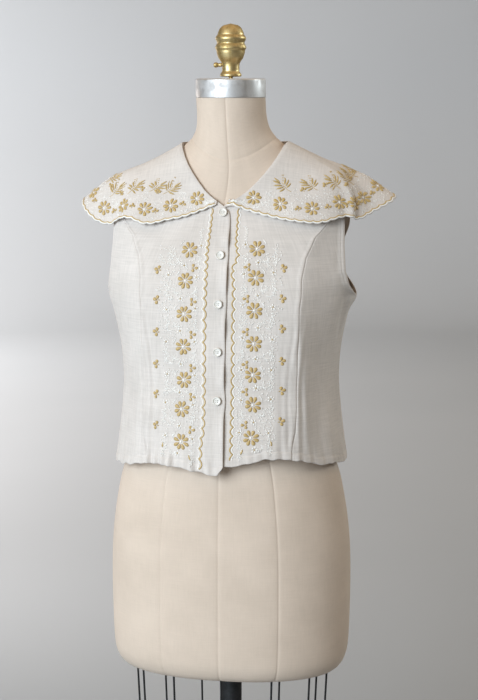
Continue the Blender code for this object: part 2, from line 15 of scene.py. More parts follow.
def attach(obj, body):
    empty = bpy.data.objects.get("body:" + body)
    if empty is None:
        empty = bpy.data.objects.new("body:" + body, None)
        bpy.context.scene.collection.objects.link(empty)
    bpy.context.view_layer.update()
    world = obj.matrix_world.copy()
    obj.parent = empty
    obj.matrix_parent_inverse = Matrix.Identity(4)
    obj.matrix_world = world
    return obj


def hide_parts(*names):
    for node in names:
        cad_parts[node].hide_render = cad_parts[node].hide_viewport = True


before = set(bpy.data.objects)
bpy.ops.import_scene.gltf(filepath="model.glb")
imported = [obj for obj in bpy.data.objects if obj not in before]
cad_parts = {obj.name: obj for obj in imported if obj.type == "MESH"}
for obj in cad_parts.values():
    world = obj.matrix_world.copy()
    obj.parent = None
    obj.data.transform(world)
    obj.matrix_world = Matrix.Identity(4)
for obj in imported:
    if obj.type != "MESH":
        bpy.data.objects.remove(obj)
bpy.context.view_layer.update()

# Camera: it stands a little to the wearer's left and looks down on the hips.
CAMERA_PLACE = (0.4126, -2.4657, 1.500)
CAMERA_AIM = (-0.15815, 0.97438, -0.15988)
LENS = 85.0

# Cloth. BUTTON_EDGE is the overlapping edge's turn from the centre front, and PER_DEGREE the metres of cloth
# to a degree of turn where a rough figure will do.
FRONT = -90.0
CLOTH = 0.0012
LAYER_STEP = 0.0019
HALF_GAP = 0.00015
PER_DEGREE = 0.0029
BUTTON_EDGE = -3.7
HEM_DEPTH = 0.0105
RIM_PITCH = 0.0135
BUTTON_LEVELS = (1.357, 1.267, 1.180, 1.111, 1.039)
BUTTON_RADIUS = 0.0064

# Dress form: the turns of its seams, and the levels of its neck seam, its end and the top of its metal cap.
FORM_SEAMS = (-90.0, -62.0, -118.0, 0.0, 180.0, 58.0, 90.0, 122.0)
FORM_NECK_SEAM = 1.4180
FORM_TOP = 1.4775
CAP_TOP = 1.5055
SEAM_GAP = 0.0003

# Columns of the section tables: level of the ring's sides, half width, front depth, back depth,
# how far the front and the back of the ring lie below its sides, squareness of the ring's corners.
FORM_SECTIONS = np.array((
    (0.6000, 0.160, 0.098, 0.106, 0.000, 0.000, 2.30),
    (0.6035, 0.169, 0.106, 0.113, 0.000, 0.000, 2.30),
    (0.6120, 0.177, 0.114, 0.120, 0.000, 0.000, 2.30),
    (0.6300, 0.183, 0.120, 0.125, 0.000, 0.000, 2.30),
    (0.7000, 0.186, 0.122, 0.129, 0.000, 0.000, 2.30),
    (0.7700, 0.186, 0.122, 0.130, 0.000, 0.000, 2.30),
    (0.8200, 0.183, 0.121, 0.126, 0.000, 0.000, 2.30),
    (0.8700, 0.176, 0.119, 0.115, 0.000, 0.000, 2.30),
    (0.9150, 0.166, 0.115, 0.103, 0.000, 0.000, 2.30),
    (0.9600, 0.148, 0.108, 0.090, 0.000, 0.000, 2.30),
    (1.0000, 0.134, 0.101, 0.083, 0.000, 0.000, 2.25),
    (1.0400, 0.134, 0.101, 0.086, 0.000, 0.000, 2.25),
    (1.0900, 0.145, 0.105, 0.095, 0.000, 0.000, 2.35),
    (1.1400, 0.157, 0.108, 0.103, 0.000, 0.000, 2.50),
    (1.1800, 0.163, 0.106, 0.108, 0.000, 0.000, 2.50),
    (1.2200, 0.164, 0.100, 0.111, 0.005, 0.002, 2.45),
    (1.2600, 0.161, 0.090, 0.112, 0.015, 0.005, 2.35),
    (1.3000, 0.159, 0.079, 0.111, 0.030, 0.009, 2.25),
    (1.3350, 0.160, 0.070, 0.106, 0.042, 0.012, 2.15),
    (1.3500, 0.158, 0.0665, 0.102, 0.046, 0.013, 2.10),
    (1.3620, 0.150, 0.0635, 0.098, 0.048, 0.013, 2.05),
    (1.3750, 0.130, 0.060, 0.092, 0.048, 0.011, 2.00),
    (1.3900, 0.103, 0.0565, 0.084, 0.046, 0.007, 2.00),
    (1.4040, 0.080, 0.054, 0.074, 0.040, 0.002, 2.00),
    (1.4160, 0.066, 0.052, 0.065, 0.032, -0.003, 2.00),
    (1.4300, 0.0562, 0.0505, 0.059, 0.022, -0.003, 2.00),
    (1.4500, 0.0522, 0.0505, 0.054, 0.008, -0.001, 2.00),
    (1.4775, 0.0520, 0.051, 0.052, 0.000, 0.000, 2.00),
))
TOP_SECTIONS = np.array((
    (0.928, 0.178, 0.136, 0.126, 0.000, 0.000, 2.35),
    (0.985, 0.171, 0.130, 0.117, 0.000, 0.000, 2.35),
    (1.040, 0.166, 0.123, 0.110, 0.000, 0.000, 2.35),
    (1.070, 0.1655, 0.1205, 0.108, 0.000, 0.000, 2.40),
    (1.110, 0.169, 0.1185, 0.109, 0.000, 0.000, 2.50),
    (1.150, 0.177, 0.115, 0.111, 0.000, 0.000, 2.60),
    (1.185, 0.186, 0.1105, 0.114, 0.000, 0.000, 2.60),
    (1.220, 0.187, 0.104, 0.117, 0.005, 0.002, 2.50),
    (1.260, 0.185, 0.095, 0.118, 0.015, 0.005, 2.40),
    (1.300, 0.181, 0.085, 0.117, 0.030, 0.009, 2.30),
    (1.335, 0.174, 0.075, 0.111, 0.042, 0.012, 2.20),
    (1.352, 0.165, 0.0700, 0.1055, 0.046, 0.013, 2.12),
    (1.3638, 0.1535, 0.0660, 0.1008, 0.048, 0.013, 2.06),
    (1.3769, 0.1314, 0.0623, 0.0943, 0.048, 0.011, 2.00),
    (1.3919, 0.1047, 0.0592, 0.0866, 0.046, 0.007, 2.00),
    (1.4058, 0.0822, 0.0568, 0.0768, 0.040, 0.002, 2.00),
    (1.4120, 0.0747, 0.0557, 0.0716, 0.036, 0.000, 2.00),
))
# The neck leans a little to the wearer's left: level, move along X.
LEAN = np.array((
    (1.350, 0.0000), (1.370, 0.0008), (1.385, 0.0030), (1.400, 0.0052), (1.412, 0.0058), (1.430, 0.0036),
    (1.450, 0.0016), (1.4775, 0.0000),
))

# Seam and edge lines: level, and degrees towards the side from the centre front.
FRONT_EDGE = np.array((
    (0.900, -3.7), (1.345, -3.7), (1.358, -3.2), (1.366, -1.0), (1.371, 2.0), (1.376, 6.0), (1.383, 13.0),
    (1.390, 21.0), (1.395, 29.0), (1.399, 38.0), (1.403, 50.0), (1.406, 62.0), (1.408, 74.0), (1.409, 80.0),
))
PRINCESS_SEAM = np.array((
    (0.900, 36.0), (0.950, 37.0), (0.980, 39.0), (1.030, 40.0), (1.080, 40.0), (1.130, 38.5), (1.175, 36.0),
    (1.220, 36.5), (1.255, 39.0), (1.290, 45.0), (1.307, 54.0), (1.317, 67.5), (1.318, 70.0),
))
# Level, and degrees towards the front or the back from the side seam.
ARMHOLE_FRONT = np.array((
    (1.186, 0.0), (1.189, 9.0), (1.196, 15.5), (1.206, 20.5), (1.227, 24.5), (1.262, 24.0), (1.300, 21.0),
    (1.318, 19.8), (1.335, 17.5), (1.350, 12.5), (1.359, 6.5), (1.364, 0.0),
))
ARMHOLE_BACK = np.array((
    (1.186, 0.0), (1.190, 9.0), (1.198, 16.0), (1.210, 21.5), (1.235, 26.0), (1.265, 26.5), (1.300, 23.5),
    (1.335, 17.5), (1.350, 12.0), (1.359, 6.0), (1.364, 0.0),
))
UNDERARM_LEVEL = 1.186
SHOULDER_TIP_LEVEL = 1.364
PRINCESS_TOP_LEVEL = 1.318
NECK_LEVEL = 1.409

# The hem: degrees round the body, and its level there.
HEM = np.array((
    (-185.0, 0.931), (-170.0, 0.931), (-149.0, 0.930), (-138.0, 0.934), (-124.0, 0.941), (-112.0, 0.940),
    (-105.0, 0.937), (-97.0, 0.933), (-91.0, 0.930), (-86.0, 0.934),
))
HEM_LEFT = np.array((
    (-95.0, 0.943), (-83.0, 0.944), (-78.0, 0.946), (-69.0, 0.953), (-64.0, 0.955), (-57.0, 0.954),
    (-49.0, 0.950), (-42.0, 0.945), (-33.0, 0.938), (-23.0, 0.937), (-8.0, 0.931), (5.0, 0.931),
))
HEM_BACK = np.array(((-5.0, 0.931), (25.0, 0.927), (90.0, 0.924), (155.0, 0.927), (185.0, 0.931)))
HEM_START = 0.930
HEM_FADE = 0.110

# Columns: degrees from the centre front, rim level, stand-off at the neck edge, partway, at the rim.
COLLAR_PARTWAY = 0.45
COLLAR_LEFT = np.array((
    (0.6, 1.3665, 0.0021, 0.0026, 0.0035), (4.0, 1.3680, 0.0021, 0.0026, 0.0036),
    (7.0, 1.3655, 0.0021, 0.0027, 0.0038), (10.0, 1.3615, 0.0021, 0.0027, 0.0039),
    (13.0, 1.3570, 0.0021, 0.0028, 0.0042), (20.0, 1.3470, 0.0021, 0.0030, 0.0048),
    (28.0, 1.3345, 0.0021, 0.0034, 0.0060), (34.0, 1.3250, 0.0021, 0.0040, 0.0079),
    (40.0, 1.3170, 0.0022, 0.0048, 0.0100), (46.0, 1.3105, 0.0024, 0.0056, 0.0116),
    (52.0, 1.3085, 0.0026, 0.0064, 0.0130), (60.0, 1.3085, 0.0030, 0.0074, 0.0140),
    (67.0, 1.3065, 0.0034, 0.0084, 0.0140), (72.0, 1.3010, 0.0037, 0.0092, 0.0200),
    (76.0, 1.2985, 0.0040, 0.0100, 0.0317), (82.0, 1.3030, 0.0044, 0.0115, 0.0520),
    (90.0, 1.3110, 0.0048, 0.0135, 0.0670), (98.0, 1.3175, 0.0048, 0.0150, 0.0740),
    (108.0, 1.3150, 0.0045, 0.0145, 0.0680), (120.0, 1.3060, 0.0040, 0.0115, 0.0500),
    (134.0, 1.2990, 0.0032, 0.0080, 0.0300), (150.0, 1.2960, 0.0028, 0.0060, 0.0200),
    (165.0, 1.2980, 0.0026, 0.0050, 0.0130), (180.0, 1.2960, 0.0025, 0.0050, 0.0150),
))
COLLAR_RIGHT = np.array((
    (4.5, 1.3685, 0.0021, 0.0026, 0.0036), (7.0, 1.3650, 0.0021, 0.0027, 0.0038),
    (10.0, 1.3600, 0.0021, 0.0027, 0.0039), (13.0, 1.3545, 0.0021, 0.0028, 0.0042),
    (20.0, 1.3415, 0.0021, 0.0030, 0.0050), (28.0, 1.3290, 0.0021, 0.0035, 0.0065),
    (34.0, 1.3170, 0.0021, 0.0042, 0.0085), (40.0, 1.3115, 0.0021, 0.0050, 0.0109),
    (46.0, 1.3135, 0.0021, 0.0058, 0.0136), (52.0, 1.3105, 0.0021, 0.0058, 0.0130),
    (60.0, 1.3005, 0.0021, 0.0050, 0.0083), (64.0, 1.2930, 0.0021, 0.0050, 0.0093),
    (68.0, 1.2900, 0.0021, 0.0052, 0.0160), (72.0, 1.2920, 0.0021, 0.0056, 0.0275),
    (78.0, 1.3005, 0.0022, 0.0064, 0.0407), (84.0, 1.3080, 0.0023, 0.0072, 0.0490),
    (90.0, 1.3100, 0.0024, 0.0078, 0.0540), (97.0, 1.3120, 0.0024, 0.0080, 0.0580),
    (107.0, 1.3120, 0.0024, 0.0078, 0.0540), (120.0, 1.3040, 0.0024, 0.0072, 0.0420),
    (134.0, 1.2980, 0.0024, 0.0062, 0.0280), (150.0, 1.2960, 0.0025, 0.0054, 0.0200),
    (165.0, 1.2980, 0.0025, 0.0050, 0.0130), (180.0, 1.2960, 0.0025, 0.0050, 0.0150),
))

# Soft troughs (height below 0) and ridges of the panels. Columns: turn round the body at the
# foot and at the head (0 is the centre front, positive to the wearer's left), level of the foot and the head,
# half width, height.
FOLDS = np.array((
    (36.9, 37.3, 0.935, 1.190, 0.0022, 0.0005),
    (35.2, 35.7, 0.935, 1.175, 0.0019, -0.0004),
    (33.2, 34.4, 0.935, 1.120, 0.0026, 0.0004),
    (31.4, 32.0, 0.945, 1.150, 0.0020, -0.0003),
    (28.6, 30.8, 0.950, 1.060, 0.0036, 0.0004),
    (40.4, 41.0, 0.935, 1.150, 0.0030, 0.0012),
    (43.2, 43.4, 0.940, 1.110, 0.0036, -0.0013),
    (47.0, 46.0, 0.940, 1.050, 0.0055, 0.0010),
    (60.0, 57.0, 0.940, 1.000, 0.0100, -0.0012),
    (70.0, 68.0, 0.935, 1.050, 0.0130, 0.0012),
    (-33.4, -35.2, 0.935, 1.180, 0.0024, -0.0010),
    (-35.6, -36.6, 0.935, 1.170, 0.0024, 0.0011),
    (-38.8, -39.4, 0.935, 1.160, 0.0030, 0.0012),
    (-41.4, -41.6, 0.935, 1.130, 0.0032, -0.0012),
    (-45.0, -44.0, 0.935, 1.060, 0.0060, 0.0010),
    (-58.0, -60.0, 0.935, 1.000, 0.0100, -0.0012),
    (-68.0, -66.0, 0.935, 1.090, 0.0120, 0.0013),
    (-30.6, -32.6, 0.940, 1.090, 0.0030, 0.0009),
    (-22.0, -24.0, 0.935, 1.000, 0.0050, -0.0010),
    (-84.0, -74.0, 1.150, 1.225, 0.0070, 0.0016),
    (-80.0, -70.0, 1.130, 1.200, 0.0080, -0.0014),
    (84.0, 73.0, 1.150, 1.225, 0.0070, 0.0016),
    (80.0, 70.0, 1.125, 1.200, 0.0080, -0.0014),
    (10.0, 24.0, 1.262, 1.300, 0.0080, 0.0008),
    (-9.0, -22.0, 1.262, 1.292, 0.0090, 0.0008),
    (104.0, 112.0, 0.940, 1.120, 0.0110, 0.0018),
    (114.0, 120.0, 0.935, 1.080, 0.0100, -0.0016),
    (128.0, 131.0, 0.935, 1.150, 0.0130, 0.0022),
    (141.0, 140.0, 0.930, 1.040, 0.0110, -0.0016),
    (160.0, 156.0, 0.930, 1.120, 0.0140, 0.0016),
    (178.0, 182.0, 0.930, 1.060, 0.0130, -0.0014),
    (199.0, 204.0, 0.930, 1.130, 0.0140, 0.0018),
    (216.0, 219.0, 0.930, 1.050, 0.0110, -0.0018),
    (231.0, 228.0, 0.935, 1.160, 0.0130, 0.0022),
    (246.0, 241.0, 0.935, 1.070, 0.0100, -0.0015),
    (257.0, 250.0, 0.940, 1.130, 0.0100, 0.0016),
    (112.0, 126.0, 1.180, 1.240, 0.0120, 0.0014),
    (248.0, 234.0, 1.185, 1.245, 0.0120, 0.0014),
))


def hermite(t, step, start, end, start_slope, end_slope):
    """A smooth curve over one step, at the share t of it."""
    return (
        (1 + 2 * t) * (1 - t) ** 2 * start
        + t * (1 - t) ** 2 * step * start_slope
        + t * t * (3 - 2 * t) * end
        + t * t * (t - 1) * step * end_slope
    )


def read(table, position):
    """The table's other columns at positions in its first column, on a smooth curve through the rows."""
    keys, values = table[:, 0], table[:, 1:]
    slopes = np.gradient(values, axis=0) / np.gradient(keys)[:, None]
    position = np.clip(np.asarray(position, float), keys[0], keys[-1])
    i = np.clip(np.searchsorted(keys, position, side="right") - 1, 0, len(keys) - 2)
    step = (keys[i + 1] - keys[i])[..., None]
    t = (position - keys[i])[..., None] / step
    return hermite(t, step, values[i], values[i + 1], slopes[i], slopes[i + 1])


def line_at(table, level):
    return np.interp(level, table[:, 0], table[:, 1])


def smoothstep(low, high, value):
    """0 below low, 1 above high, and a smooth rise between."""
    t = np.clip((np.asarray(value, float) - low) / (high - low), 0.0, 1.0)
    return t * t * (3 - 2 * t)


def bump(centre, half_width, value):
    """A soft hump of height 1 round the centre."""
    return np.exp(-(((np.asarray(value, float) - centre) / half_width) ** 2))


def body_point(sections, degrees, level):
    """Points of a body surface: superellipse rings whose front and back halves have their own depths."""
    degrees, level = np.broadcast_arrays(np.asarray(degrees, float), np.asarray(level, float))
    half_width, front, back, front_drop, back_drop, power = np.moveaxis(read(sections, level), -1, 0)
    angle = np.radians(degrees)
    across, along = np.cos(angle), np.sin(angle)
    swell = (np.abs(across) ** power + np.abs(along) ** power) ** (-1 / power)
    depth = np.where(along < 0, front, back)
    drop = np.where(along < 0, front_drop, back_drop)
    lean = np.where(level > LEAN[0, 0], read(LEAN, level)[..., 0], 0.0)
    return np.stack((
        half_width * across * swell + lean,
        depth * along * swell,
        level - drop * (along * swell) ** 2,
    ), axis=-1)


def unit(vectors):
    return vectors / np.maximum(np.linalg.norm(vectors, axis=-1, keepdims=True), 1e-12)


def tangents(surface, u, v, du, dv):
    """How a surface's points move to one step of u and of v."""
    along = (surface(u + du, v) - surface(u - du, v)) / (2 * du)
    upward = (surface(u, v + dv) - surface(u, v - dv)) / (2 * dv)
    return along, upward


def normals_of(surface, u, v, du, dv):
    return unit(np.cross(*tangents(surface, u, v, du, dv)))


def body_normal(sections, degrees, level):
    return normals_of(lambda d, l: body_point(sections, d, l), degrees, level, 0.1, 0.0005)


def raised(sections, degrees, level, height):
    height = np.asarray(height, float)[..., None]
    return body_point(sections, degrees, level) + body_normal(sections, degrees, level) * height


def fold_height(turn, level):
    """The sum of the folds at places of the top."""
    total = np.zeros(np.broadcast(turn, level).shape)
    for foot_turn, head_turn, foot, head, width, height in FOLDS:
        share = (level - foot) / (head - foot)
        centre = foot_turn + (head_turn - foot_turn) * np.clip(share, 0, 1)
        sideways = (turn - centre) * PER_DEGREE
        fade = smoothstep(1.15, 0.62, share) * smoothstep(-0.35, 0.05, share)
        total = total + height * fade * np.exp(-((sideways / width) ** 2))
    return total


def wave_noise(x, y, seed, count, low, high):
    """A smooth seeded noise about 0, from a few sine waves over metres."""
    dice = random.Random(seed)
    total = np.zeros(np.broadcast(x, y).shape)
    for _ in range(count):
        turn, pitch = dice.uniform(0, math.pi), dice.uniform(low, high)
        phase = dice.uniform(0, 2 * math.pi)
        total = total + np.sin(2 * math.pi * pitch * (x * math.cos(turn) + y * math.sin(turn)) + phase)
    return total / count


def over_hem(level, hem):
    """A flat ring level, moved so that the lowest ring runs along the hem."""
    share = 1 - smoothstep(HEM_START, HEM_START + HEM_FADE, level)
    return level + (hem - HEM_START) * share


def relief(turn, level, hem):
    """What the cloth does besides its cut: folds, the turned-up hem and its puckers, small unevenness."""
    around = turn * PER_DEGREE
    height = fold_height(turn, level) * smoothstep(1.30, 1.24, level)
    above = level - hem
    height = height + 0.0005 * smoothstep(HEM_DEPTH + 0.0012, HEM_DEPTH - 0.0008, above)
    height = height - 0.0006 * bump(HEM_DEPTH + 0.0008, 0.0011, above)
    pucker = wave_noise(around, above * 0.12, 7, 6, 55.0, 120.0)
    strong = 0.0018 + 0.0060 * bump(-21, 13, turn) + 0.0016 * bump(36, 7, turn)
    height = height + pucker * strong * smoothstep(0.030, 0.003, above)
    return height + 0.0005 * wave_noise(around, level, 3, 10, 4.0, 16.0)


# Surfaces of the pieces. A centre front and a side front take a turn in degrees from the centre front
# towards their own side, and a level. The back takes degrees from the left side seam. The collar takes a turn
# all round and the share of the way from its neck edge to its rim. Lengths and heights are in metres.

def stitched_edge(distance, width=0.0060):
    """A turned and stitched edge: a soft roll at the fold, and a dent along the stitches. In metres."""
    return 0.0003 * bump(width * 0.45, width * 0.35, distance) - 0.0004 * bump(width, 0.0008, distance)


def seam_dent(distance):
    """The groove along a seam. In metres."""
    return 0.0007 * bump(0, 0.0011, distance)


def to_button(level):
    """Height between a level and the nearest button."""
    return np.min(np.abs(np.asarray(level)[..., None] - np.array(BUTTON_LEVELS)), axis=-1)


def armhole_turn(level):
    """Degrees from the centre front to the armhole's front edge."""
    return 90.0 - line_at(ARMHOLE_FRONT, level)


def placket_lift(from_centre):
    return LAYER_STEP * (1 - smoothstep(5.0, 9.0, from_centre))


def edge_wave(side, level):
    """The overlapping edge bows out at its buttons and draws back between them. In degrees."""
    if side > 0:
        return 0.0 * level
    low = 1 - smoothstep(1.02, 1.10, level)
    held = (0.30 + 0.50 * low) * bump(0, 0.016, to_button(level)) - 0.25
    return -held * smoothstep(1.340, 1.30, level) + 2.4 * smoothstep(0.943, 0.930, level) ** 2


def edge_curl(from_centre, level):
    """The overlapping edge lifts off between its buttons. In metres."""
    slack = smoothstep(0.008, 0.034, to_button(level)) * (1 - smoothstep(1.30, 1.34, level))
    return 0.0030 * slack * (1 - smoothstep(BUTTON_EDGE, 1.5, from_centre))


def side_fold(from_centre, level):
    """Soft upright folds low on a side panel. In metres."""
    depth = 0.0014 * (1 - smoothstep(0.96, 1.12, level))
    edge = smoothstep(38, 46, from_centre) * (1 - smoothstep(82, 90, from_centre))
    return depth * edge * (np.cos(np.radians((from_centre - 40) * 14)) - 1) / 2


def girth(degrees, level, sections=TOP_SECTIONS):
    """Metres of cloth per degree round the body."""
    step = 0.4
    run = body_point(sections, degrees + step, level) - body_point(sections, degrees - step, level)
    return np.linalg.norm(run, axis=-1) / (2 * step)


def outer_line(level):
    """Where a centre front ends towards the side: the princess seam, the armhole, then the shoulder seam."""
    seam = line_at(PRINCESS_SEAM, level)
    armhole = armhole_turn(level)
    return np.where(level <= PRINCESS_TOP_LEVEL, seam, np.where(level < SHOULDER_TIP_LEVEL, armhole, 90.0))


def hem_level(side, degrees):
    """The hem's line, drawn up a little here and there by its stitches."""
    from_centre = side * (degrees - FRONT)
    drawn = wave_noise(from_centre * PER_DEGREE, 0.0, 19 + side, 6, 22.0, 70.0)
    room = smoothstep(2.0, 8.0, from_centre) * smoothstep(88.0, 78.0, from_centre)
    return read(HEM_LEFT if side > 0 else HEM, degrees)[..., 0] + 0.0022 * drawn * room


def panel_turn(side, from_seam, width, level):
    """How far a side panel falls back past the princess seam, where the body turns. In metres."""
    deepest = np.minimum(0.038, 0.45 * width)
    # On the left, the cloth beside the seam's lower part stays level before it falls back.
    level_part = (side > 0) * 0.012 * smoothstep(1.16, 1.03, level)

    def past_level_part(distance):
        distance = np.clip(distance - level_part, 0, None)
        return distance * distance / (distance + 0.4 * level_part + 1e-9)

    from_seam, width = past_level_part(from_seam), past_level_part(width)
    rise = np.sin(np.pi / 2 * np.clip(from_seam / deepest, 0, 1))
    fall = np.cos(np.pi / 2 * np.clip((from_seam - deepest) / np.maximum(width - deepest, 0.001), 0, 1))
    most = (0.21 if side > 0 else 0.04) * deepest * smoothstep(1.322, 1.300, level)
    most = most * (0.55 + 0.45 * smoothstep(0.95, 1.03, level)) * (1 - 0.35 * smoothstep(1.18, 1.22, level))
    return -most * np.where(from_seam < deepest, rise, fall)


def seam_ridge(from_centre, from_seam, level):
    """The princess seam stands out, so the front lies flatter than the body under it. In metres."""
    tall = 0.0044 * smoothstep(0.955, 1.02, level) * smoothstep(1.318, 1.290, level)
    seam = line_at(PRINCESS_SEAM, level)
    front = np.clip((from_centre - 18.0) / (seam - 18.0), 0, 1) ** 1.7
    return tall * np.where(from_seam < 0, front, np.cos(np.pi / 2 * np.clip(from_seam / 0.048, 0, 1)) ** 1.3)


def armhole_stand(side, to_armhole, level):
    """The left armhole's edge stands off the arm side a little."""
    return (side > 0) * 0.0026 * smoothstep(0.014, 0.0, to_armhole) * smoothstep(UNDERARM_LEVEL, 1.20, level)


def underarm_flare(from_side, level):
    """The cloth stands out below the left armhole."""
    return 0.0062 * bump(1.183, 0.014, level) * bump(0, 13, from_side)


def panel_places(side, from_centre, level):
    """What both panels of one side start from, with the relief's height and the way to the armhole last."""
    from_centre, level = np.broadcast_arrays(np.asarray(from_centre, float), np.asarray(level, float))
    degrees = FRONT + side * from_centre
    hem = hem_level(side, degrees)
    ring = over_hem(level, hem)
    per_degree = girth(degrees, level)
    to_armhole = (armhole_turn(level) - from_centre) * per_degree
    lift = relief(side * from_centre, ring, hem)
    return from_centre, level, degrees, ring, per_degree, lift, to_armhole


def front_surface(side):
    def surface(from_centre, level):
        places_here = panel_places(side, from_centre, level)
        from_centre, level, degrees, ring, per_degree, lift, to_armhole = places_here
        to_seam = (line_at(PRINCESS_SEAM, level) - from_centre) * per_degree
        lift = lift + seam_ridge(from_centre, np.minimum(-to_seam, -1e-9), level)
        below = 1 - smoothstep(PRINCESS_TOP_LEVEL - 0.002, PRINCESS_TOP_LEVEL + 0.004, level)
        lift = lift + below * (0.0006 * smoothstep(0.0072, 0.0052, to_seam) - seam_dent(to_seam))
        lift = lift + (1 - below) * (level < SHOULDER_TIP_LEVEL) * stitched_edge(to_armhole)
        lift = lift + (1 - below) * armhole_stand(side, to_armhole, level) * smoothstep(1.345, 1.325, level)
        from_edge = (from_centre - BUTTON_EDGE - edge_wave(side, level)) * per_degree
        lift = lift + stitched_edge(from_edge, 0.0055) * (1 - smoothstep(1.340, 1.352, level))
        if side < 0:
            lift = lift + placket_lift(from_centre) + edge_curl(from_centre, ring)
        return raised(TOP_SECTIONS, degrees, ring, lift)
    return surface


def side_surface(side):
    def surface(from_centre, level):
        places_here = panel_places(side, from_centre, level)
        from_centre, level, degrees, ring, per_degree, lift, to_armhole = places_here
        beside_armhole = level > UNDERARM_LEVEL
        seam = line_at(PRINCESS_SEAM, level)
        from_seam = (from_centre - seam) * per_degree
        width = (np.where(beside_armhole, armhole_turn(level), 90.0) - seam) * per_degree
        lift = lift + side_fold(from_centre, ring) - seam_dent(from_seam)
        lift = lift + beside_armhole * stitched_edge(to_armhole)
        lift = lift + panel_turn(side, from_seam, width, level) + armhole_stand(side, to_armhole, level)
        lift = lift + seam_ridge(from_centre, np.maximum(from_seam, 0), level)
        if side > 0:
            lift = lift + underarm_flare(90.0 - from_centre, level)
        to_side = (90.0 - from_centre) * per_degree
        lift = lift - seam_dent(to_side) * smoothstep(UNDERARM_LEVEL, UNDERARM_LEVEL - 0.006, level)
        return raised(TOP_SECTIONS, degrees, ring, lift)
    return surface


def back_surface(degrees, level):
    degrees, level = np.broadcast_arrays(np.asarray(degrees, float), np.asarray(level, float))
    hem = read(HEM_BACK, degrees)[..., 0]
    ring = over_hem(level, hem)
    per_degree = girth(degrees, level)
    lift = relief(degrees + 90.0, ring, hem)
    from_side = np.minimum(degrees, 180.0 - degrees)
    armhole = np.where(level < SHOULDER_TIP_LEVEL, line_at(ARMHOLE_BACK, level), -20.0)
    to_armhole = (from_side - armhole) * per_degree
    lift = lift + (level > UNDERARM_LEVEL) * stitched_edge(to_armhole)
    lift = lift - seam_dent(from_side * per_degree) * (level < UNDERARM_LEVEL)
    # The armhole's edge lies close below. On the left it stands out, right under the arm and higher up.
    close = smoothstep(0.060, 0.0, to_armhole) * smoothstep(1.190, 1.215, level)
    close = close * smoothstep(1.288, 1.250, level)
    stands = 0.0060 * bump(1.300, 0.022, level) * smoothstep(0.030, 0.0, to_armhole)
    lift = lift - 0.0090 * close + (degrees < 90.0) * (underarm_flare(from_side, level) + stands)
    return raised(TOP_SECTIONS, degrees, ring, lift)


def neckline_level(from_centre):
    in_front = np.interp(from_centre, FRONT_EDGE[3:, 1], FRONT_EDGE[3:, 0])
    return np.where(from_centre >= 80.0, NECK_LEVEL, in_front)


# The collar's own soft shape. Columns: turn at the rim, share of the way out, half widths in degrees and in
# share, height, how many degrees further round it would lie at the neck edge.
COLLAR_FOLDS = np.array((
    (83.0, 1.00, 8.0, 0.42, -0.0185, 14.0),
    (74.2, 0.92, 3.2, 0.36, -0.0030, 15.0),
    (69.4, 0.94, 3.0, 0.38, 0.0050, 15.0),
    (96.0, 0.32, 22.0, 0.24, 0.0050, 0.0),
    (268.0, 0.85, 7.0, 0.45, -0.0016, 0.0),
    (282.0, 0.70, 6.0, 0.40, 0.0016, 0.0),
    (250.0, 0.80, 9.0, 0.50, 0.0012, 0.0),
    (97.0, 0.75, 8.0, 0.45, -0.0014, 0.0),
    (118.0, 0.80, 10.0, 0.50, 0.0012, 0.0),
    (35.0, 0.80, 8.0, 0.50, 0.0008, 0.0),
    (318.0, 0.80, 8.0, 0.50, 0.0008, 0.0),
    (150.0, 0.80, 9.0, 0.50, -0.0014, 0.0),
    (206.0, 0.80, 9.0, 0.50, -0.0014, 0.0),
    (180.0, 0.80, 10.0, 0.50, 0.0014, 0.0),
    (230.0, 0.85, 8.0, 0.50, -0.0012, 0.0),
))


def collar_surface(turn, share):
    turn, share = np.broadcast_arrays(np.asarray(turn, float), np.asarray(share, float))
    from_centre = np.minimum(turn, 360 - turn)
    left, right = read(COLLAR_LEFT, from_centre), read(COLLAR_RIGHT, from_centre)
    rim_level, at_neck, partway, at_rim = np.moveaxis(np.where((turn <= 180)[..., None], left, right), -1, 0)
    top_level = neckline_level(from_centre)
    level = top_level + (rim_level - top_level) * share
    # The same smooth curve through three rows that the solid's stand-off follows.
    low, high = COLLAR_PARTWAY, 1 - COLLAR_PARTWAY
    middle_slope = at_rim - at_neck
    first_slope, last_slope = (partway - at_neck) / low, (at_rim - partway) / high
    inner = hermite(np.clip(share / low, 0, 1), low, at_neck, partway, first_slope, middle_slope)
    outer = hermite(np.clip((share - low) / high, 0, 1), high, partway, at_rim, middle_slope, last_slope)
    stand_off = np.where(share < low, inner, outer) + LAYER_STEP * (1 - smoothstep(6.0, 12.0, from_centre))
    for at_turn, at_share, turn_width, share_width, height, lean in COLLAR_FOLDS:
        sideways = bump(at_turn, turn_width, turn - lean * (1 - share))
        stand_off = stand_off + height * sideways * bump(at_share, share_width, share)
    return raised(TOP_SECTIONS, FRONT + turn, level, stand_off)


# Meshes

def mesh_object(name, points, faces, materials, uvs=None, which=None):
    mesh = bpy.data.meshes.new(name)
    mesh.from_pydata([tuple(p) for p in np.asarray(points).reshape(-1, 3).tolist()], [], faces)
    mesh.shade_smooth()
    for finish in materials:
        mesh.materials.append(finish)
    if which is not None:
        mesh.polygons.foreach_set("material_index", which)
    if uvs is not None:
        layer = mesh.uv_layers.new(name="UVMap")
        loops = np.empty(len(mesh.loops), np.int32)
        mesh.loops.foreach_get("vertex_index", loops)
        layer.uv.foreach_set("vector", np.asarray(uvs, float)[loops].ravel())
    made = bpy.data.objects.new(name, mesh)
    bpy.context.scene.collection.objects.link(made)
    return made


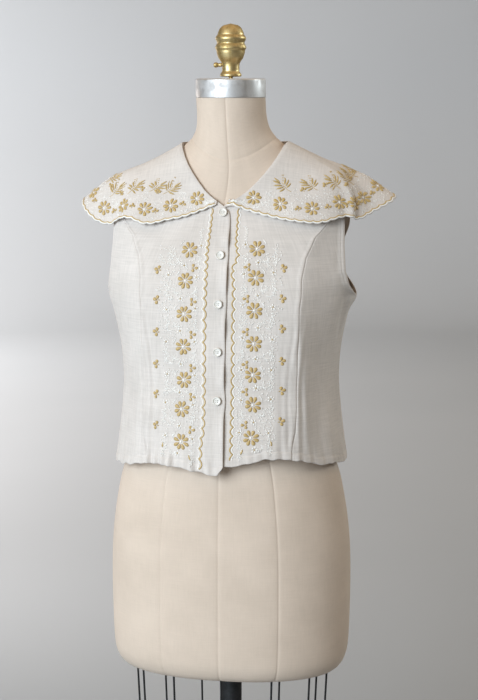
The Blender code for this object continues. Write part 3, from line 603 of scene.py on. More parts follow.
def cloth_shell(name, outer, uv):
    """A closed sheet of cloth from a grid of points on its outer face, rows upward, with rounded edges."""
    high, wide = outer.shape[:2]
    normals = unit(np.cross(np.gradient(outer, axis=1), np.gradient(outer, axis=0)))
    inner = outer - normals * CLOTH

    border = [(0, j) for j in range(wide - 1)]
    border += [(i, wide - 1) for i in range(high - 1)]
    border += [(high - 1, j) for j in range(wide - 1, 0, -1)]
    border += [(i, 0) for i in range(high - 1, 0, -1)]
    rows, columns = np.array(border).T
    rim = outer[rows, columns]
    along = np.roll(rim, -1, axis=0) - np.roll(rim, 1, axis=0)
    outward = unit(np.cross(along, normals[rows, columns]))
    middle = (rim + inner[rows, columns]) / 2 + outward * CLOTH * 0.45

    count = high * wide
    points = np.concatenate((outer.reshape(-1, 3), inner.reshape(-1, 3), middle))
    uvs = np.concatenate((uv.reshape(-1, 2), uv.reshape(-1, 2), uv[rows, columns]))
    faces = []
    for i in range(high - 1):
        for j in range(wide - 1):
            a = i * wide + j
            faces.append((a, a + 1, a + 1 + wide, a + wide))
            faces.append((a + count, a + wide + count, a + 1 + wide + count, a + 1 + count))
    edge = (rows * wide + columns).tolist()
    total = len(edge)
    for k in range(total):
        n = (k + 1) % total
        a, b = edge[k], edge[n]
        m, p = 2 * count + k, 2 * count + n
        faces.append((b, a, m, p))
        faces.append((p, m, a + count, b + count))
    return mesh_object(name, points, faces, [linen], uvs)


def lathe(name, profile, segments, finish, place=Matrix.Identity(4), smooth_angle=38):
    """A solid turned about Z from (radius, height) pairs, bottom to top."""
    points, rings, uvs = [], [], []
    run, before = 0.0, profile[0]
    for radius, height in profile:
        run += math.hypot(radius - before[0], height - before[1])
        before = (radius, height)
        around = 1 if radius == 0 else segments
        rings.append([len(points) + k for k in range(around)])
        for k in range(around):
            angle = 2 * math.pi * k / segments
            points.append((radius * math.cos(angle), radius * math.sin(angle), height))
            uvs.append((k / segments * 0.1, run))
    faces = []
    for low, high in zip(rings, rings[1:]):
        for k in range(segments):
            m = (k + 1) % segments
            if len(low) == 1:
                faces.append((low[0], high[m], high[k]))
            elif len(high) == 1:
                faces.append((low[k], low[m], high[0]))
            else:
                faces.append((low[k], low[m], high[m], high[k]))
    made = mesh_object(name, points, faces, [finish], uvs)
    made.data.set_sharp_from_angle(angle=math.radians(smooth_angle))
    made.matrix_world = place
    return made


# Materials

def shader_of(name, colour, roughness, metallic=0.0, **sockets):
    made = bpy.data.materials.new(name)
    made.use_nodes = True
    made.diffuse_color = (*colour, 1.0)
    tree = made.node_tree
    shader = tree.nodes["Principled BSDF"]
    shader.inputs["Base Color"].default_value = (*colour, 1.0)
    shader.inputs["Roughness"].default_value = roughness
    shader.inputs["Metallic"].default_value = metallic
    for socket, value in sockets.items():
        shader.inputs[socket.replace("_", " ")].default_value = value
    return made, tree, shader


def places(tree, kind):
    """The surface's own coordinates: UV, or Object for metres in space."""
    return tree.nodes.new("ShaderNodeTexCoord").outputs[kind]


def noise_node(tree, vector, scale, detail=3.0, roughness=0.55):
    made = tree.nodes.new("ShaderNodeTexNoise")
    made.inputs["Scale"].default_value = scale
    made.inputs["Detail"].default_value = detail
    made.inputs["Roughness"].default_value = roughness
    tree.links.new(vector, made.inputs["Vector"])
    return made.outputs["Fac"]


def ramp(tree, factor, stops):
    made = tree.nodes.new("ShaderNodeValToRGB")
    elements = made.color_ramp.elements
    while len(elements) < len(stops):
        elements.new(0.5)
    for element, (place, colour) in zip(elements, stops):
        element.position = place
        element.color = (*colour, 1.0)
    tree.links.new(factor, made.inputs["Fac"])
    return made.outputs["Color"]


def paint(tree, shader, factor, stops):
    tree.links.new(ramp(tree, factor, stops), shader.inputs["Base Color"])


def maths(tree, operation, *values):
    made = tree.nodes.new("ShaderNodeMath")
    made.operation = operation
    for index, value in enumerate(values):
        if isinstance(value, (int, float)):
            made.inputs[index].default_value = value
        else:
            tree.links.new(value, made.inputs[index])
    return made.outputs[0]


def added(tree, a, b):
    return maths(tree, "ADD", a, b)


def times(tree, a, b):
    return maths(tree, "MULTIPLY", a, b)


def bump_into(tree, shader, height, distance, strength):
    made = tree.nodes.new("ShaderNodeBump")
    made.inputs["Strength"].default_value = strength
    made.inputs["Distance"].default_value = distance
    tree.links.new(height, made.inputs["Height"])
    tree.links.new(made.outputs["Normal"], shader.inputs["Normal"])


def scaled(tree, vector, factors):
    made = tree.nodes.new("ShaderNodeMapping")
    made.inputs["Scale"].default_value = factors
    tree.links.new(vector, made.inputs["Vector"])
    return made.outputs["Vector"]


def weave_height(tree, uv, pitch):
    """A plain weave: crossing threads of one pitch, in metres."""
    parts = tree.nodes.new("ShaderNodeSeparateXYZ")
    tree.links.new(uv, parts.inputs["Vector"])
    across, along = (maths(tree, "SINE", times(tree, parts.outputs[axis], math.pi / pitch)) for axis in "XY")
    ribs = added(tree, maths(tree, "ABSOLUTE", across), maths(tree, "ABSOLUTE", along))
    return added(tree, times(tree, times(tree, across, along), 0.5), times(tree, ribs, 0.5))


def woven(name, light, dark, pitch, roughness, slub=0.5, sheen=0.12):
    """A plain woven cloth with slubs: threads of slightly different colour run both ways."""
    made, tree, shader = shader_of(name, light, roughness, Sheen_Weight=sheen, Sheen_Roughness=0.5)
    uv = places(tree, "UV")
    threads_up = noise_node(tree, scaled(tree, uv, (1.0, 0.055, 1.0)), 1 / (pitch * 2.3))
    threads_across = noise_node(tree, scaled(tree, uv, (0.055, 1.0, 1.0)), 1 / (pitch * 2.3))
    clouds = noise_node(tree, uv, 14.0, 4.0)
    mixed = added(tree, times(tree, threads_up, slub), times(tree, threads_across, slub))
    mixed = times(tree, added(tree, mixed, times(tree, clouds, 1 - slub)), 1 / (1 + slub))
    paint(tree, shader, mixed, ((0.36, dark), (0.62, light)))
    height = added(tree, weave_height(tree, uv, pitch), times(tree, mixed, 3.0))
    bump_into(tree, shader, height, 0.00012, 0.55)
    return made


def thread(name, light, dark, roughness, sheen):
    """Satin stitch: fine parallel strands 0.5 mm apart across the shape, along its U."""
    made, tree, shader = shader_of(name, light, roughness, Sheen_Weight=sheen)
    uv = places(tree, "UV")
    parts = tree.nodes.new("ShaderNodeSeparateXYZ")
    tree.links.new(uv, parts.inputs["Vector"])
    strands = maths(tree, "SINE", times(tree, parts.outputs["X"], 2 * math.pi / 0.0005))
    mixed = added(tree, times(tree, strands, 0.18), noise_node(tree, uv, 900.0, 2.0))
    paint(tree, shader, mixed, ((0.25, dark), (0.68, light)))
    bump_into(tree, shader, mixed, 0.00012, 0.7)
    return made


linen = woven("linen_white", (0.710, 0.640, 0.580), (0.556, 0.500, 0.447), 0.0009, 0.88)
canvas = woven("canvas_cream", (0.685, 0.555, 0.442), (0.605, 0.487, 0.383), 0.0007, 0.82, 0.30, 0.08)
white_thread = thread("white_thread", (0.88, 0.84, 0.78), (0.79, 0.75, 0.69), 0.58, 0.15)
gold_thread = thread("gold_thread", (0.60, 0.43, 0.17), (0.38, 0.235, 0.07), 0.44, 0.25)


# Cloth pieces

def rows_between(low, high, step):
    return np.linspace(low, high, max(2, int(round((high - low) / step)) + 1))


def joined(*parts):
    """Rows one after another, without repeats."""
    return np.unique(np.round(np.concatenate(parts), 7))


def crowded(count, amount):
    """Shares from 0 to 1 that crowd at both ends, where the stitched relief is."""
    share = np.linspace(0, 1, count)
    return share - amount * np.sin(2 * np.pi * share) / np.pi


def between(start, end, share):
    """Turns in rows, each row from its own start to its own end."""
    return start[:, None] + (end - start)[:, None] * share


def run_along(points):
    """Metres along a row of points, from 0."""
    return np.concatenate(([0], np.cumsum(np.linalg.norm(np.diff(points, axis=0), axis=1))))


def gap_degrees(degrees, level, seam):
    """Half the seam's gap, in degrees."""
    reach = 0.004
    per_degree = girth(degrees, level)
    slant = (line_at(seam, level + reach) - line_at(seam, level - reach)) / (2 * reach)
    return HALF_GAP / per_degree * np.hypot(1, slant * per_degree)


def scallop(distance, pitch):
    """0 at the cusps and 1 at the middle of each lobe, along a line."""
    return np.abs(np.sin(np.pi * distance / pitch)) ** 0.75


def front_grid(side):
    levels = joined(rows_between(0.930, 0.960, 0.0016), rows_between(0.960, PRINCESS_TOP_LEVEL, 0.0033),
                    rows_between(PRINCESS_TOP_LEVEL, PRINCESS_TOP_LEVEL + 0.0015, 0.0015),
                    rows_between(1.3195, NECK_LEVEL, 0.0024))
    inner = np.where(levels < NECK_LEVEL, line_at(FRONT_EDGE, levels) + edge_wave(side, levels), 80.0)
    outer = outer_line(levels)
    gap = np.where(levels <= PRINCESS_TOP_LEVEL, gap_degrees(FRONT + outer, levels, PRINCESS_SEAM),
                   HALF_GAP / girth(FRONT + outer, levels))
    turn = between(inner, outer - gap, crowded(56, 0.16))
    grid = front_surface(side)(turn, levels[:, None])
    return grid if side > 0 else grid[:, ::-1]


def side_grid(side):
    levels = joined(rows_between(0.930, 0.960, 0.0016), rows_between(0.960, 1.3165, 0.0033))
    inner = line_at(PRINCESS_SEAM, levels)
    outer = np.where(levels > UNDERARM_LEVEL, armhole_turn(levels), 90.0)
    gap = gap_degrees(FRONT + inner, levels, PRINCESS_SEAM)
    side_gap = np.where(levels <= UNDERARM_LEVEL, HALF_GAP / girth(0.0, levels), 0.0)
    turn = between(inner + gap, outer - side_gap, crowded(62, 0.16))
    grid = side_surface(side)(turn, levels[:, None])
    return grid if side > 0 else grid[:, ::-1]


def back_grid():
    levels = joined(rows_between(0.930, 0.960, 0.0020), rows_between(0.960, NECK_LEVEL, 0.0040))
    start = HALF_GAP / girth(0.0, levels)
    inside = (levels > UNDERARM_LEVEL) & (levels < SHOULDER_TIP_LEVEL)
    start = np.where(inside, np.maximum(start, line_at(ARMHOLE_BACK, levels)), start)
    return back_surface(between(start, 180.0 - start, crowded(132, 0.12)), levels[:, None])


def collar_grid():
    """The collar's outer face, with its rim cut in small scallops."""
    share = np.concatenate((np.linspace(0, 0.9, 26), np.linspace(0.92, 1.0, 6)))[::-1]
    turn = np.linspace(COLLAR_LEFT[0, 0], 360 - COLLAR_RIGHT[0, 0], 700)
    run = run_along(collar_surface(turn, 0.98))
    depth = np.linalg.norm(collar_surface(turn, 1.0) - collar_surface(turn, 0.0), axis=1)
    cut = 0.0026 * (1 - scallop(run, RIM_PITCH)) / np.maximum(depth, 0.02)
    share = share[:, None] - cut[None, :] * smoothstep(0.80, 1.0, share)[:, None]
    return collar_surface(turn[None, :], share)


def body_grain(points, facing):
    """Places on the cloth's own straight grain. facing is -1 for the fronts and 1 for the back."""
    around = np.arctan2(points[..., 0] / 0.175, facing * points[..., 1] / 0.125)
    return np.stack((0.15 * around, points[..., 2]), axis=-1)


def settle(piece, stands_for=None):
    """Fixes a piece to the one body, and hides the CAD node that it stands for."""
    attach(piece, "root")
    if stands_for:
        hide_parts(stands_for)


def cloth_piece(name, grid, uv, stands_for):
    piece = cloth_shell(name, grid, uv)
    settle(piece, stands_for)


# Each pair of numbers is the rectangle that a piece is cut from, laid flat along the straight grain: width
# and length.
for side, name, front_flat, side_flat in (
    (1, "left", (0.190, 0.501), (0.139, 0.388)),
    (-1, "right", (0.197, 0.513), (0.143, 0.394)),
):
    grid = front_grid(side)
    cloth_piece(f"centre_front_{name}", grid, body_grain(grid, -1), f"front_{name}")
    grid = side_grid(side)
    cloth_piece(f"side_front_{name}_cloth", grid, body_grain(grid, -1), f"side_front_{name}")
grid = back_grid()
cloth_piece("back_cloth", grid, body_grain(grid, 1), "back")
grid = collar_grid()
collar_grain = np.stack((grid[..., 0], np.abs(grid[..., 1]) - grid[..., 2]), axis=-1)
cloth_piece("cape_collar", grid, collar_grain, "collar")


# Dress form

def form_surface(degrees, level):
    """The padded body, with its seams pulled in a little."""
    degrees, level = np.broadcast_arrays(np.asarray(degrees, float), np.asarray(level, float))
    per_degree = girth(degrees, level, FORM_SECTIONS)
    depth = np.zeros(degrees.shape)
    for seam in FORM_SEAMS:
        away = np.abs((degrees - seam + 180) % 360 - 180) * per_degree
        fade = 1 - 0.93 * smoothstep(1.28, 1.36, level) * (seam not in (-90.0, 0.0, 90.0, 180.0))
        depth = depth + fade * (0.0007 * bump(0, 0.0012, away) + 0.0003 * bump(0, 0.005, away))
    depth = depth + 0.0008 * bump(FORM_NECK_SEAM, 0.0014, level)
    return raised(FORM_SECTIONS, degrees, level, -depth)


def dress_form():
    at_neck_seam = FORM_NECK_SEAM + np.array((-0.0014, -0.0007, 0, 0.0007, 0.0014))
    levels = joined(np.array((0.6000, 0.6012, 0.6035, 0.6075)), rows_between(0.6120, 1.30, 0.0065),
                    rows_between(1.30, 1.4150, 0.0035), at_neck_seam, rows_between(1.4210, FORM_TOP, 0.0035))
    at_seams = [(seam % 360) + np.array((-0.9, -0.45, 0, 0.45, 0.9)) for seam in FORM_SEAMS]
    turns = np.unique(np.round(joined(np.linspace(0, 360, 145)[:-1], *at_seams) % 360, 4))
    grid = form_surface(turns[None, :], levels[:, None])
    high, wide = grid.shape[:2]
    points = grid.reshape(-1, 3)
    run = run_along(grid[high // 3])
    uv = np.stack(np.broadcast_arrays(run[None, :], levels[:, None]), axis=-1).reshape(-1, 2)
    faces = []
    for i in range(high - 1):
        for j in range(wide):
            a, b = i * wide + j, i * wide + (j + 1) % wide
            faces.append((a, b, b + wide, a + wide))
    faces.append(tuple(reversed(range(wide))))
    faces.append(tuple(range(len(points) - wide, len(points))))
    body = mesh_object("dress_form_body", points, faces, [canvas], uv)
    body.data.set_sharp_from_angle(angle=math.radians(50))
    return body


settle(dress_form(), "dress_form")


# Embroidery: raised shapes that lie on a surface. A place is given by its own (u, v), and small x and y round
# it are metres along the cloth, x to the right when seen from outside and y up.

GOLD, WHITE = 0, 1
# How far a stitch's and a knot's border lies in the cloth, and the size of a small flower.
ROOT, KNOT_ROOT = 0.00018, 0.0002
SMALL_FLOWER = 0.0048


def shares(rows, columns):
    """Shares along a shape, from 0 to 1, and across it, from -1 to 1."""
    return np.linspace(0, 1, rows)[:, None], np.linspace(-1, 1, columns)[None, :]


def bar_half(s, width):
    """Half the width of a small padded bar along its length."""
    return width / 2 * np.maximum(np.sin(np.pi * np.clip(s, 0.01, 0.99)), 0.05) ** 0.6


def padding(s, t, height, fullness):
    """Heights of a padded shape, with its border in the cloth."""
    dome = np.sqrt(np.clip(1 - t * t, 0, 1)) * np.minimum(1, (4 * s * (1 - s)) ** 0.5 * fullness)
    return dome * (height + ROOT) - ROOT


class Stitchwork:
    """Collects raised shapes on one surface. Seen from outside, its u grows to the right and its v upward."""

    def __init__(self, surface, du, dv):
        self.surface, self.du, self.dv = surface, du, dv
        self.u, self.v, self.height, self.uv = [], [], [], []
        self.faces, self.which = [], []
        self.count = 0
        self.taken = []

    def point(self, u, v):
        return self.surface(np.float64(u), np.float64(v))

    def keep_clear(self, u, v, reach):
        """Keeps the ground's curls off a place."""
        self.taken.append((self.point(u, v), reach))

    def steps_at(self, u, v):
        """The surface's two directions at places, and a map from a way in metres to steps in u and v."""
        along, upward = tangents(self.surface, u, v, self.du, self.dv)
        aa, ab, bb = (along * along).sum(-1), (along * upward).sum(-1), (upward * upward).sum(-1)
        fall = aa * bb - ab * ab

        def steps(way):
            ra, rb = (way * along).sum(-1), (way * upward).sum(-1)
            return (ra * bb - rb * ab) / fall, (rb * aa - ra * ab) / fall
        return along, upward, steps

    def place(self, u, v):
        """A map from small x, y in metres round (u, v) to (u, v) there. u and v may be arrays of places."""
        u, v = np.asarray(u, float), np.asarray(v, float)
        along, upward, steps = self.steps_at(u, v)
        shear = (along * upward).sum(-1) / (upward * upward).sum(-1)
        across = unit(along - upward * shear[..., None])
        up = np.cross(unit(np.cross(along, upward)), across)
        (xu, xv), (yu, yv) = steps(across), steps(up)

        def there(x, y):
            lift = (...,) + (None,) * (np.ndim(x) - np.ndim(u))
            return (u[lift] + x * xu[lift] + y * yu[lift], v[lift] + x * xv[lift] + y * yv[lift])
        return there

    def add_grid(self, u, v, height, s, t, kind, long=False):
        """One closed raised shape from a grid: its rows run along it, and its border lies in the cloth."""
        rows, columns = u.shape
        start = self.count
        self.u.append(u.ravel())
        self.v.append(v.ravel())
        self.height.append(height.ravel())
        self.uv.append(np.stack((s.ravel(), t.ravel()), axis=-1))
        for i in range(rows - 1):
            for j in range(columns - 1):
                a = start + i * columns + j
                self.faces.append((a, a + columns, a + columns + 1, a + 1))
                self.which.append(kind)
        if long:
            under = [tuple(range(columns)), tuple((rows - 1) * columns + j for j in reversed(range(columns)))]
            for i in range(rows - 1):
                a = i * columns
                under.append((a, a + columns - 1, a + 2 * columns - 1, a + columns))
        else:
            border = list(range(columns)) + [i * columns + columns - 1 for i in range(1, rows)]
            border += [(rows - 1) * columns + j for j in range(columns - 2, -1, -1)]
            border += [i * columns for i in range(rows - 2, 0, -1)]
            under = [tuple(border)]
        for face in under:
            self.faces.append(tuple(start + b for b in face))
            self.which.append(kind)
        self.count += rows * columns

    def add_padded(self, u, v, height, along, across, kind):
        self.add_grid(u, v, height, *np.broadcast_arrays(along, across), kind)

    def petal(self, there, x, y, angle, length, width, height, kind, start=0.0, blunt=1.35,
              rows=7, columns=5):
        """A leaf or petal along an angle, start metres out from (x, y). A big blunt widens its far part."""
        s, t = shares(rows, columns)
        half = width / 2 * np.maximum(np.sin(np.pi * np.clip(s, 0.002, 0.998) ** blunt), 0.03) ** 0.55
        cos, sin = math.cos(math.radians(angle)), math.sin(math.radians(angle))
        x, y = x + start * cos, y + start * sin
        u, v = there(x + length * s * cos - half * t * sin, y + length * s * sin + half * t * cos)
        self.add_padded(u, v, padding(s, t, height, 1.3), s * length, t * half, kind)

    def arc(self, there, x, y, radius, start, end, width, height, kind):
        """A curved padded bar round (x, y)."""
        s, t = shares(8, 3)
        angle = np.radians(start + (end - start) * s)
        half = bar_half(s, width)
        reach = radius - half * t
        u, v = there(x + reach * np.cos(angle), y + reach * np.sin(angle))
        length = abs(math.radians(end - start)) * radius
        self.add_padded(u, v, padding(s, t, height, 1.4), s * length, t * half, kind)

    def strew(self, u, v, start, sweep, length, width, height, kind):
        """Many small curved bars at once, each about its own place. All but the last three are arrays."""
        s, t = shares(6, 3)
        radius = (length / sweep)[:, None, None]
        angle = start[:, None, None] + sweep[:, None, None] * s
        middle = (start + sweep / 2)[:, None, None]
        half = bar_half(s, width)
        reach = radius - half * t
        x = reach * np.cos(angle) - radius * np.cos(middle)
        y = reach * np.sin(angle) - radius * np.sin(middle)
        there_u, there_v = self.place(u, v)(x, y)
        raised_by = padding(s, t, height, 1.4)
        for k in range(len(u)):
            self.add_padded(there_u[k], there_v[k], raised_by, s * length[k], t * half, kind)

    def cord(self, u, v, width, height, kind, columns=5):
        """A raised line along points of the surface. Its sides are offset square to it."""
        u, v = np.asarray(u, float), np.asarray(v, float)
        along, upward, steps = self.steps_at(u, v)
        centre = self.surface(u, v)
        step_u, step_v = steps(np.cross(unit(np.cross(along, upward)), unit(np.gradient(centre, axis=0))))
        _, t = shares(2, columns)
        across = t * width / 2
        run = run_along(centre)
        ends = np.minimum(1, np.minimum(run, run[-1] - run) / 0.0012)[:, None]
        dome = np.sqrt(np.clip(1 - t * t, 0, 1)) * np.sqrt(np.clip(ends, 0, 1))
        grid_s, grid_t = np.broadcast_arrays(run[:, None], across)
        self.add_grid(u[:, None] + step_u[:, None] * across, v[:, None] + step_v[:, None] * across,
                      dome * (height + ROOT) - ROOT, grid_s, grid_t, kind, long=True)

    def finish(self, name):
        u, v, height = (np.concatenate(x) for x in (self.u, self.v, self.height))
        normal = normals_of(self.surface, u, v, self.du, self.dv)
        points = self.surface(u, v) + normal * height[:, None]
        uvs = np.concatenate(self.uv)
        made = mesh_object(name, points, self.faces, [gold_thread, white_thread], uvs, which=self.which)
        settle(made)


dice = random.Random(41)


def jitter(amount):
    return dice.uniform(-amount, amount)


def big_flower(work, u, v, size=0.0126):
    """Eight plump petals round a white knot."""
    there = work.place(u, v)
    first = 22.5 + jitter(5)
    for k in range(8):
        angle = first + 45.0 * k + jitter(4)
        length = size * (0.79 + jitter(0.05))
        width = size * (0.49 + jitter(0.03))
        work.petal(there, 0.0, 0.0, angle, length, width, 0.0011, GOLD, size * 0.22, 1.55)
    knot(work, there, 0.0, 0.0, size * 0.17, WHITE)


def knot(work, there, x, y, radius, kind, height=0.0012):
    """A small round knot of thread."""
    t = np.linspace(-1, 1, 5)
    s, t = np.meshgrid(t, t, indexing="ij")
    px = s * np.sqrt(1 - t * t / 2) * radius
    py = t * np.sqrt(1 - s * s / 2) * radius
    fall = np.clip(1 - (px * px + py * py) / radius**2, 0, 1)
    u, v = there(x + px, y + py)
    work.add_grid(u, v, np.sqrt(fall) * (height + KNOT_ROOT) - KNOT_ROOT, px, py, kind)


def small_flower(work, there, x, y):
    """Five white petals round a gold knot."""
    size = SMALL_FLOWER
    first = jitter(36)
    for k in range(5):
        angle = first + 72.0 * k + jitter(6)
        work.petal(there, x, y, angle, size * 0.76, size * 0.60, 0.0010, WHITE, size * 0.28, rows=6)
    knot(work, there, x, y, size * 0.27, GOLD, 0.0010)


def bud(work, u, v, angle, size, spread=72):
    """Three gold leaves that open outward along the angle, with a short stalk."""
    there = work.place(u, v)
    for turn, share in ((-spread, 0.56), (0, 0.62), (spread, 0.56)):
        way = angle + turn + jitter(5)
        work.petal(there, 0.0, 0.0, way, size * share, size * 0.50, 0.0011, GOLD, size * 0.06, 1.45)
    stalk = angle + 180 + jitter(12)
    work.petal(there, 0.0, 0.0, stalk, size * 0.34, size * 0.20, 0.0007, GOLD, blunt=0.8, rows=5, columns=3)


def tendril(work, u, v, path, leaf=0.0044):
    """A curling white stem through points of metres round (u, v), with leaves on alternate sides."""
    there = work.place(u, v)
    table = np.array([(k, px, py) for k, (px, py) in enumerate(path)], float)
    run = read(table, np.linspace(0, len(path) - 1, 4 * len(path)))
    stem_u, stem_v = there(run[:, 0], run[:, 1])
    work.cord(stem_u, stem_v, 0.0009, 0.0005, WHITE, 3)
    side = 1
    for k in range(2, len(run) - 1):
        way = math.degrees(math.atan2(run[k, 1] - run[k - 1, 1], run[k, 0] - run[k - 1, 0]))
        way = way + side * (48 + jitter(8))
        work.petal(there, run[k, 0], run[k, 1], way, leaf * (1 + jitter(0.15)), leaf * 0.42, 0.0008, WHITE,
                   blunt=1.0, rows=5, columns=3)
        side = -side


def ground_curls(work, count, region, seed, length, width, height):
    """Small white curls strewn over a region of the surface, away from the flowers."""
    strewn = random.Random(seed)
    drawn = np.array([(*region(strewn), strewn.uniform(0, 2 * math.pi), strewn.uniform(1.2, 2.6),
                       length * strewn.uniform(0.7, 1.15)) for _ in range(count)])
    here = work.surface(drawn[:, 0], drawn[:, 1])
    for other, reach in work.taken:
        clear = np.linalg.norm(here - other, axis=1) > reach
        drawn, here = drawn[clear], here[clear]
    work.strew(*drawn.T, width, height, WHITE)


def front_place(side, x, z):
    """The (turn, level) of a place on a centre front that lies at x and z, both in metres."""
    turn, level = abs(x) / 0.0031, z + 0.01
    for _ in range(14):
        hem = hem_level(side, FRONT + side * turn)
        here = body_point(TOP_SECTIONS, FRONT + side * turn, over_hem(level, hem))
        ahead = body_point(TOP_SECTIONS, FRONT + side * (turn + 0.2), over_hem(level, hem))
        level = level + (z - here[2])
        turn = turn + (side * x - side * here[0]) / (side * (ahead[0] - here[0]) / 0.2)
    return float(turn), float(level)


# Where the big flowers of the fronts lie, top to bottom: x and z in metres on the cloth. To the wearer's
# right x is negative.
FLOWERS = {
    1: ((0.0535, 1.260), (0.0535, 1.219), (0.0530, 1.172), (0.0530, 1.124), (0.0520, 1.078),
        (0.0525, 1.034), (0.0505, 0.986)),
    -1: ((-0.0465, 1.257), (-0.0505, 1.213), (-0.0510, 1.165), (-0.0515, 1.117), (-0.0505, 1.068),
         (-0.0535, 1.025), (-0.0535, 0.977)),
}
# The gold buds between them: x, and the levels down each side.
OUTER_BUDS = {1: (0.0915, (1.232, 1.189, 1.1455, 1.098, 1.054, 1.009)),
              -1: (-0.0915, (1.227, 1.184, 1.137, 1.089, 1.044, 0.998))}
INNER_BUDS = {1: (0.0420, (1.234, 1.189, 1.141, 1.093, 1.053, 1.005)),
              -1: (-0.0390, (1.2315, 1.183, 1.135, 1.086, 1.0435, 0.995))}


# Paths of the tendrils from a flower: x away from it, y up.
OUTER_TENDRIL = (
    (0.0225, 0.0010), (0.0285, -0.0050), (0.0245, -0.0115), (0.0290, -0.0170),
    (0.0255, -0.0220),
)
INNER_TENDRIL = (
    (0.0125, -0.0085), (0.0180, -0.0125), (0.0140, -0.0185), (0.0185, -0.0240),
    (0.0150, -0.0290),
)
LOW_TENDRIL = ((0.0130, -0.0100), (0.0165, -0.0150), (0.0120, -0.0185), (0.0080, -0.0165))
TOP_TWIG = ((0.0145, 0.0100), (0.0165, 0.0190), (0.0150, 0.0270), (0.0180, 0.0340))


def placket_line(level, side):
    """The middle of the scalloped line beside the placket, in metres from the centre front."""
    if side > 0:
        return 0.0225 + 0.0042 * bump(1.268, 0.016, level) - 0.0030 * bump(1.236, 0.018, level)
    return 0.0165 + 0.0037 * smoothstep(1.36, 1.26, level) + 0.0038 * smoothstep(1.00, 0.965, level)


def dress_front(side):
    """The embroidery of one centre front, in repeats down from its top flower."""
    surface = front_surface(side)
    work = Stitchwork(lambda u, v: surface(side * u, v), 0.2, 0.001)
    out = side  # the x direction away from the placket

    # The gold line with its padded white edge.
    levels = np.linspace(1.364, 0.9395 if side > 0 else 0.9325, 580)
    pitch = 0.0160 - 0.0035 * smoothstep(1.27, 1.34, levels)
    wave = scallop(np.cumsum(np.full(len(levels), abs(levels[1] - levels[0])) / pitch), 1.0)
    reach = 0.0048 - 0.0022 * smoothstep(1.25, 1.33, levels)
    per_degree = girth(np.full(len(levels), FRONT + side * 8.0), levels)
    line = placket_line(levels, side)
    gold_at = (line + reach * (0.5 - wave)) / per_degree
    white_at = (line + 0.0032 + reach * 0.9 * (0.5 - wave)) / per_degree
    work.cord(side * gold_at, levels, 0.0024, 0.0009, GOLD)
    work.cord(side * white_at, levels, 0.0018, 0.0006, WHITE)

    flowers = [front_place(side, x, z) for x, z in FLOWERS[side]]
    for index, (turn, level) in enumerate(flowers):
        u = side * turn
        big_flower(work, u, level)
        work.keep_clear(u, level, 0.0145)
        there = work.place(u, level)
        small_flower(work, there, -out * 0.0172, 0.0070 if index != 1 else 0.0055)
        low, high = sorted((90 - out * 78, 90 - out * 40))
        work.arc(there, -out * 0.0010, 0.0020, 0.0155, low, high, 0.0022, 0.0010, WHITE)
        for way, path, leaf in (
            (out, OUTER_TENDRIL, 0.0044), (-out, INNER_TENDRIL, 0.0040), (out, LOW_TENDRIL, 0.0034),
        ):
            tendril(work, u, level, [(way * x, y) for x, y in path], leaf)
        if index:
            small_flower(work, there, out * (0.0035 + jitter(0.001)), 0.0235)
            small_flower(work, there, out * 0.0262, 0.0080)
            work.arc(there, out * 0.0185, 0.0325, 0.0085, 234, 306, 0.0021, 0.0010, WHITE)
    for (x, levels_of_buds), lean, size, spread in (
        (OUTER_BUDS[side], 90 - out * 75, 0.0115, 74),
        (INNER_BUDS[side], 90 + out * 90, 0.0105, 104),
    ):
        for z in levels_of_buds:
            turn, level = front_place(side, x, z)
            bud(work, side * turn, level, lean, size, spread)
            work.keep_clear(side * turn, level, 0.0085)
    # Below the last flower the pattern closes with single drops.
    there = work.place(side * flowers[-1][0], flowers[-1][1])
    small_flower(work, there, out * 0.0050, -0.0170)
    work.petal(there, out * 0.0290, -0.0030, -90 + out * 6, 0.0085, 0.0034, 0.0010, GOLD)
    work.petal(there, -out * 0.0120, -0.0165, -90 - out * 28, 0.0075, 0.0034, 0.0010, GOLD)
    # The rising twig beside the first flower.
    tendril(work, side * flowers[0][0], flowers[0][1], [(-out * x, y) for x, y in TOP_TWIG], 0.0036)

    def region(strewn):
        share = strewn.uniform(0, 1)
        level = flowers[0][1] + 0.006 + share * (flowers[-1][1] - flowers[0][1] - 0.016)
        away = strewn.choice((strewn.uniform(0.029, 0.050), strewn.uniform(0.050, 0.086)))
        return side * away / 0.0030, level

    ground_curls(work, 760, region, 11 + side, 0.0046, 0.0015, 0.0009)
    work.finish(f"front_{'left' if side > 0 else 'right'}_embroidery")


for side in (1, -1):
    dress_front(side)


# The collar's border follows its rim: (turn, distance in from the rim).

RIM_TURNS = np.linspace(COLLAR_LEFT[0, 0], 360 - COLLAR_RIGHT[0, 0], 711)
DEPTH_SHARES = np.linspace(0, 1, 41)
COLLAR_DEPTH = np.linalg.norm(
    np.diff(collar_surface(RIM_TURNS[:, None], DEPTH_SHARES[None, :]), axis=1), axis=2).sum(axis=1)
RIM_RUN = run_along(collar_surface(RIM_TURNS, 0.98))


def collar_depth(turn):
    """Metres of cloth from the rim to the neck edge."""
    return np.interp(turn, RIM_TURNS, COLLAR_DEPTH)


def turn_at(run):
    """The turn at so many metres along the rim."""
    return np.interp(run, RIM_RUN, RIM_TURNS)


def border_surface(turn, inward):
    return collar_surface(turn, 1 - np.asarray(inward, float) / collar_depth(turn))


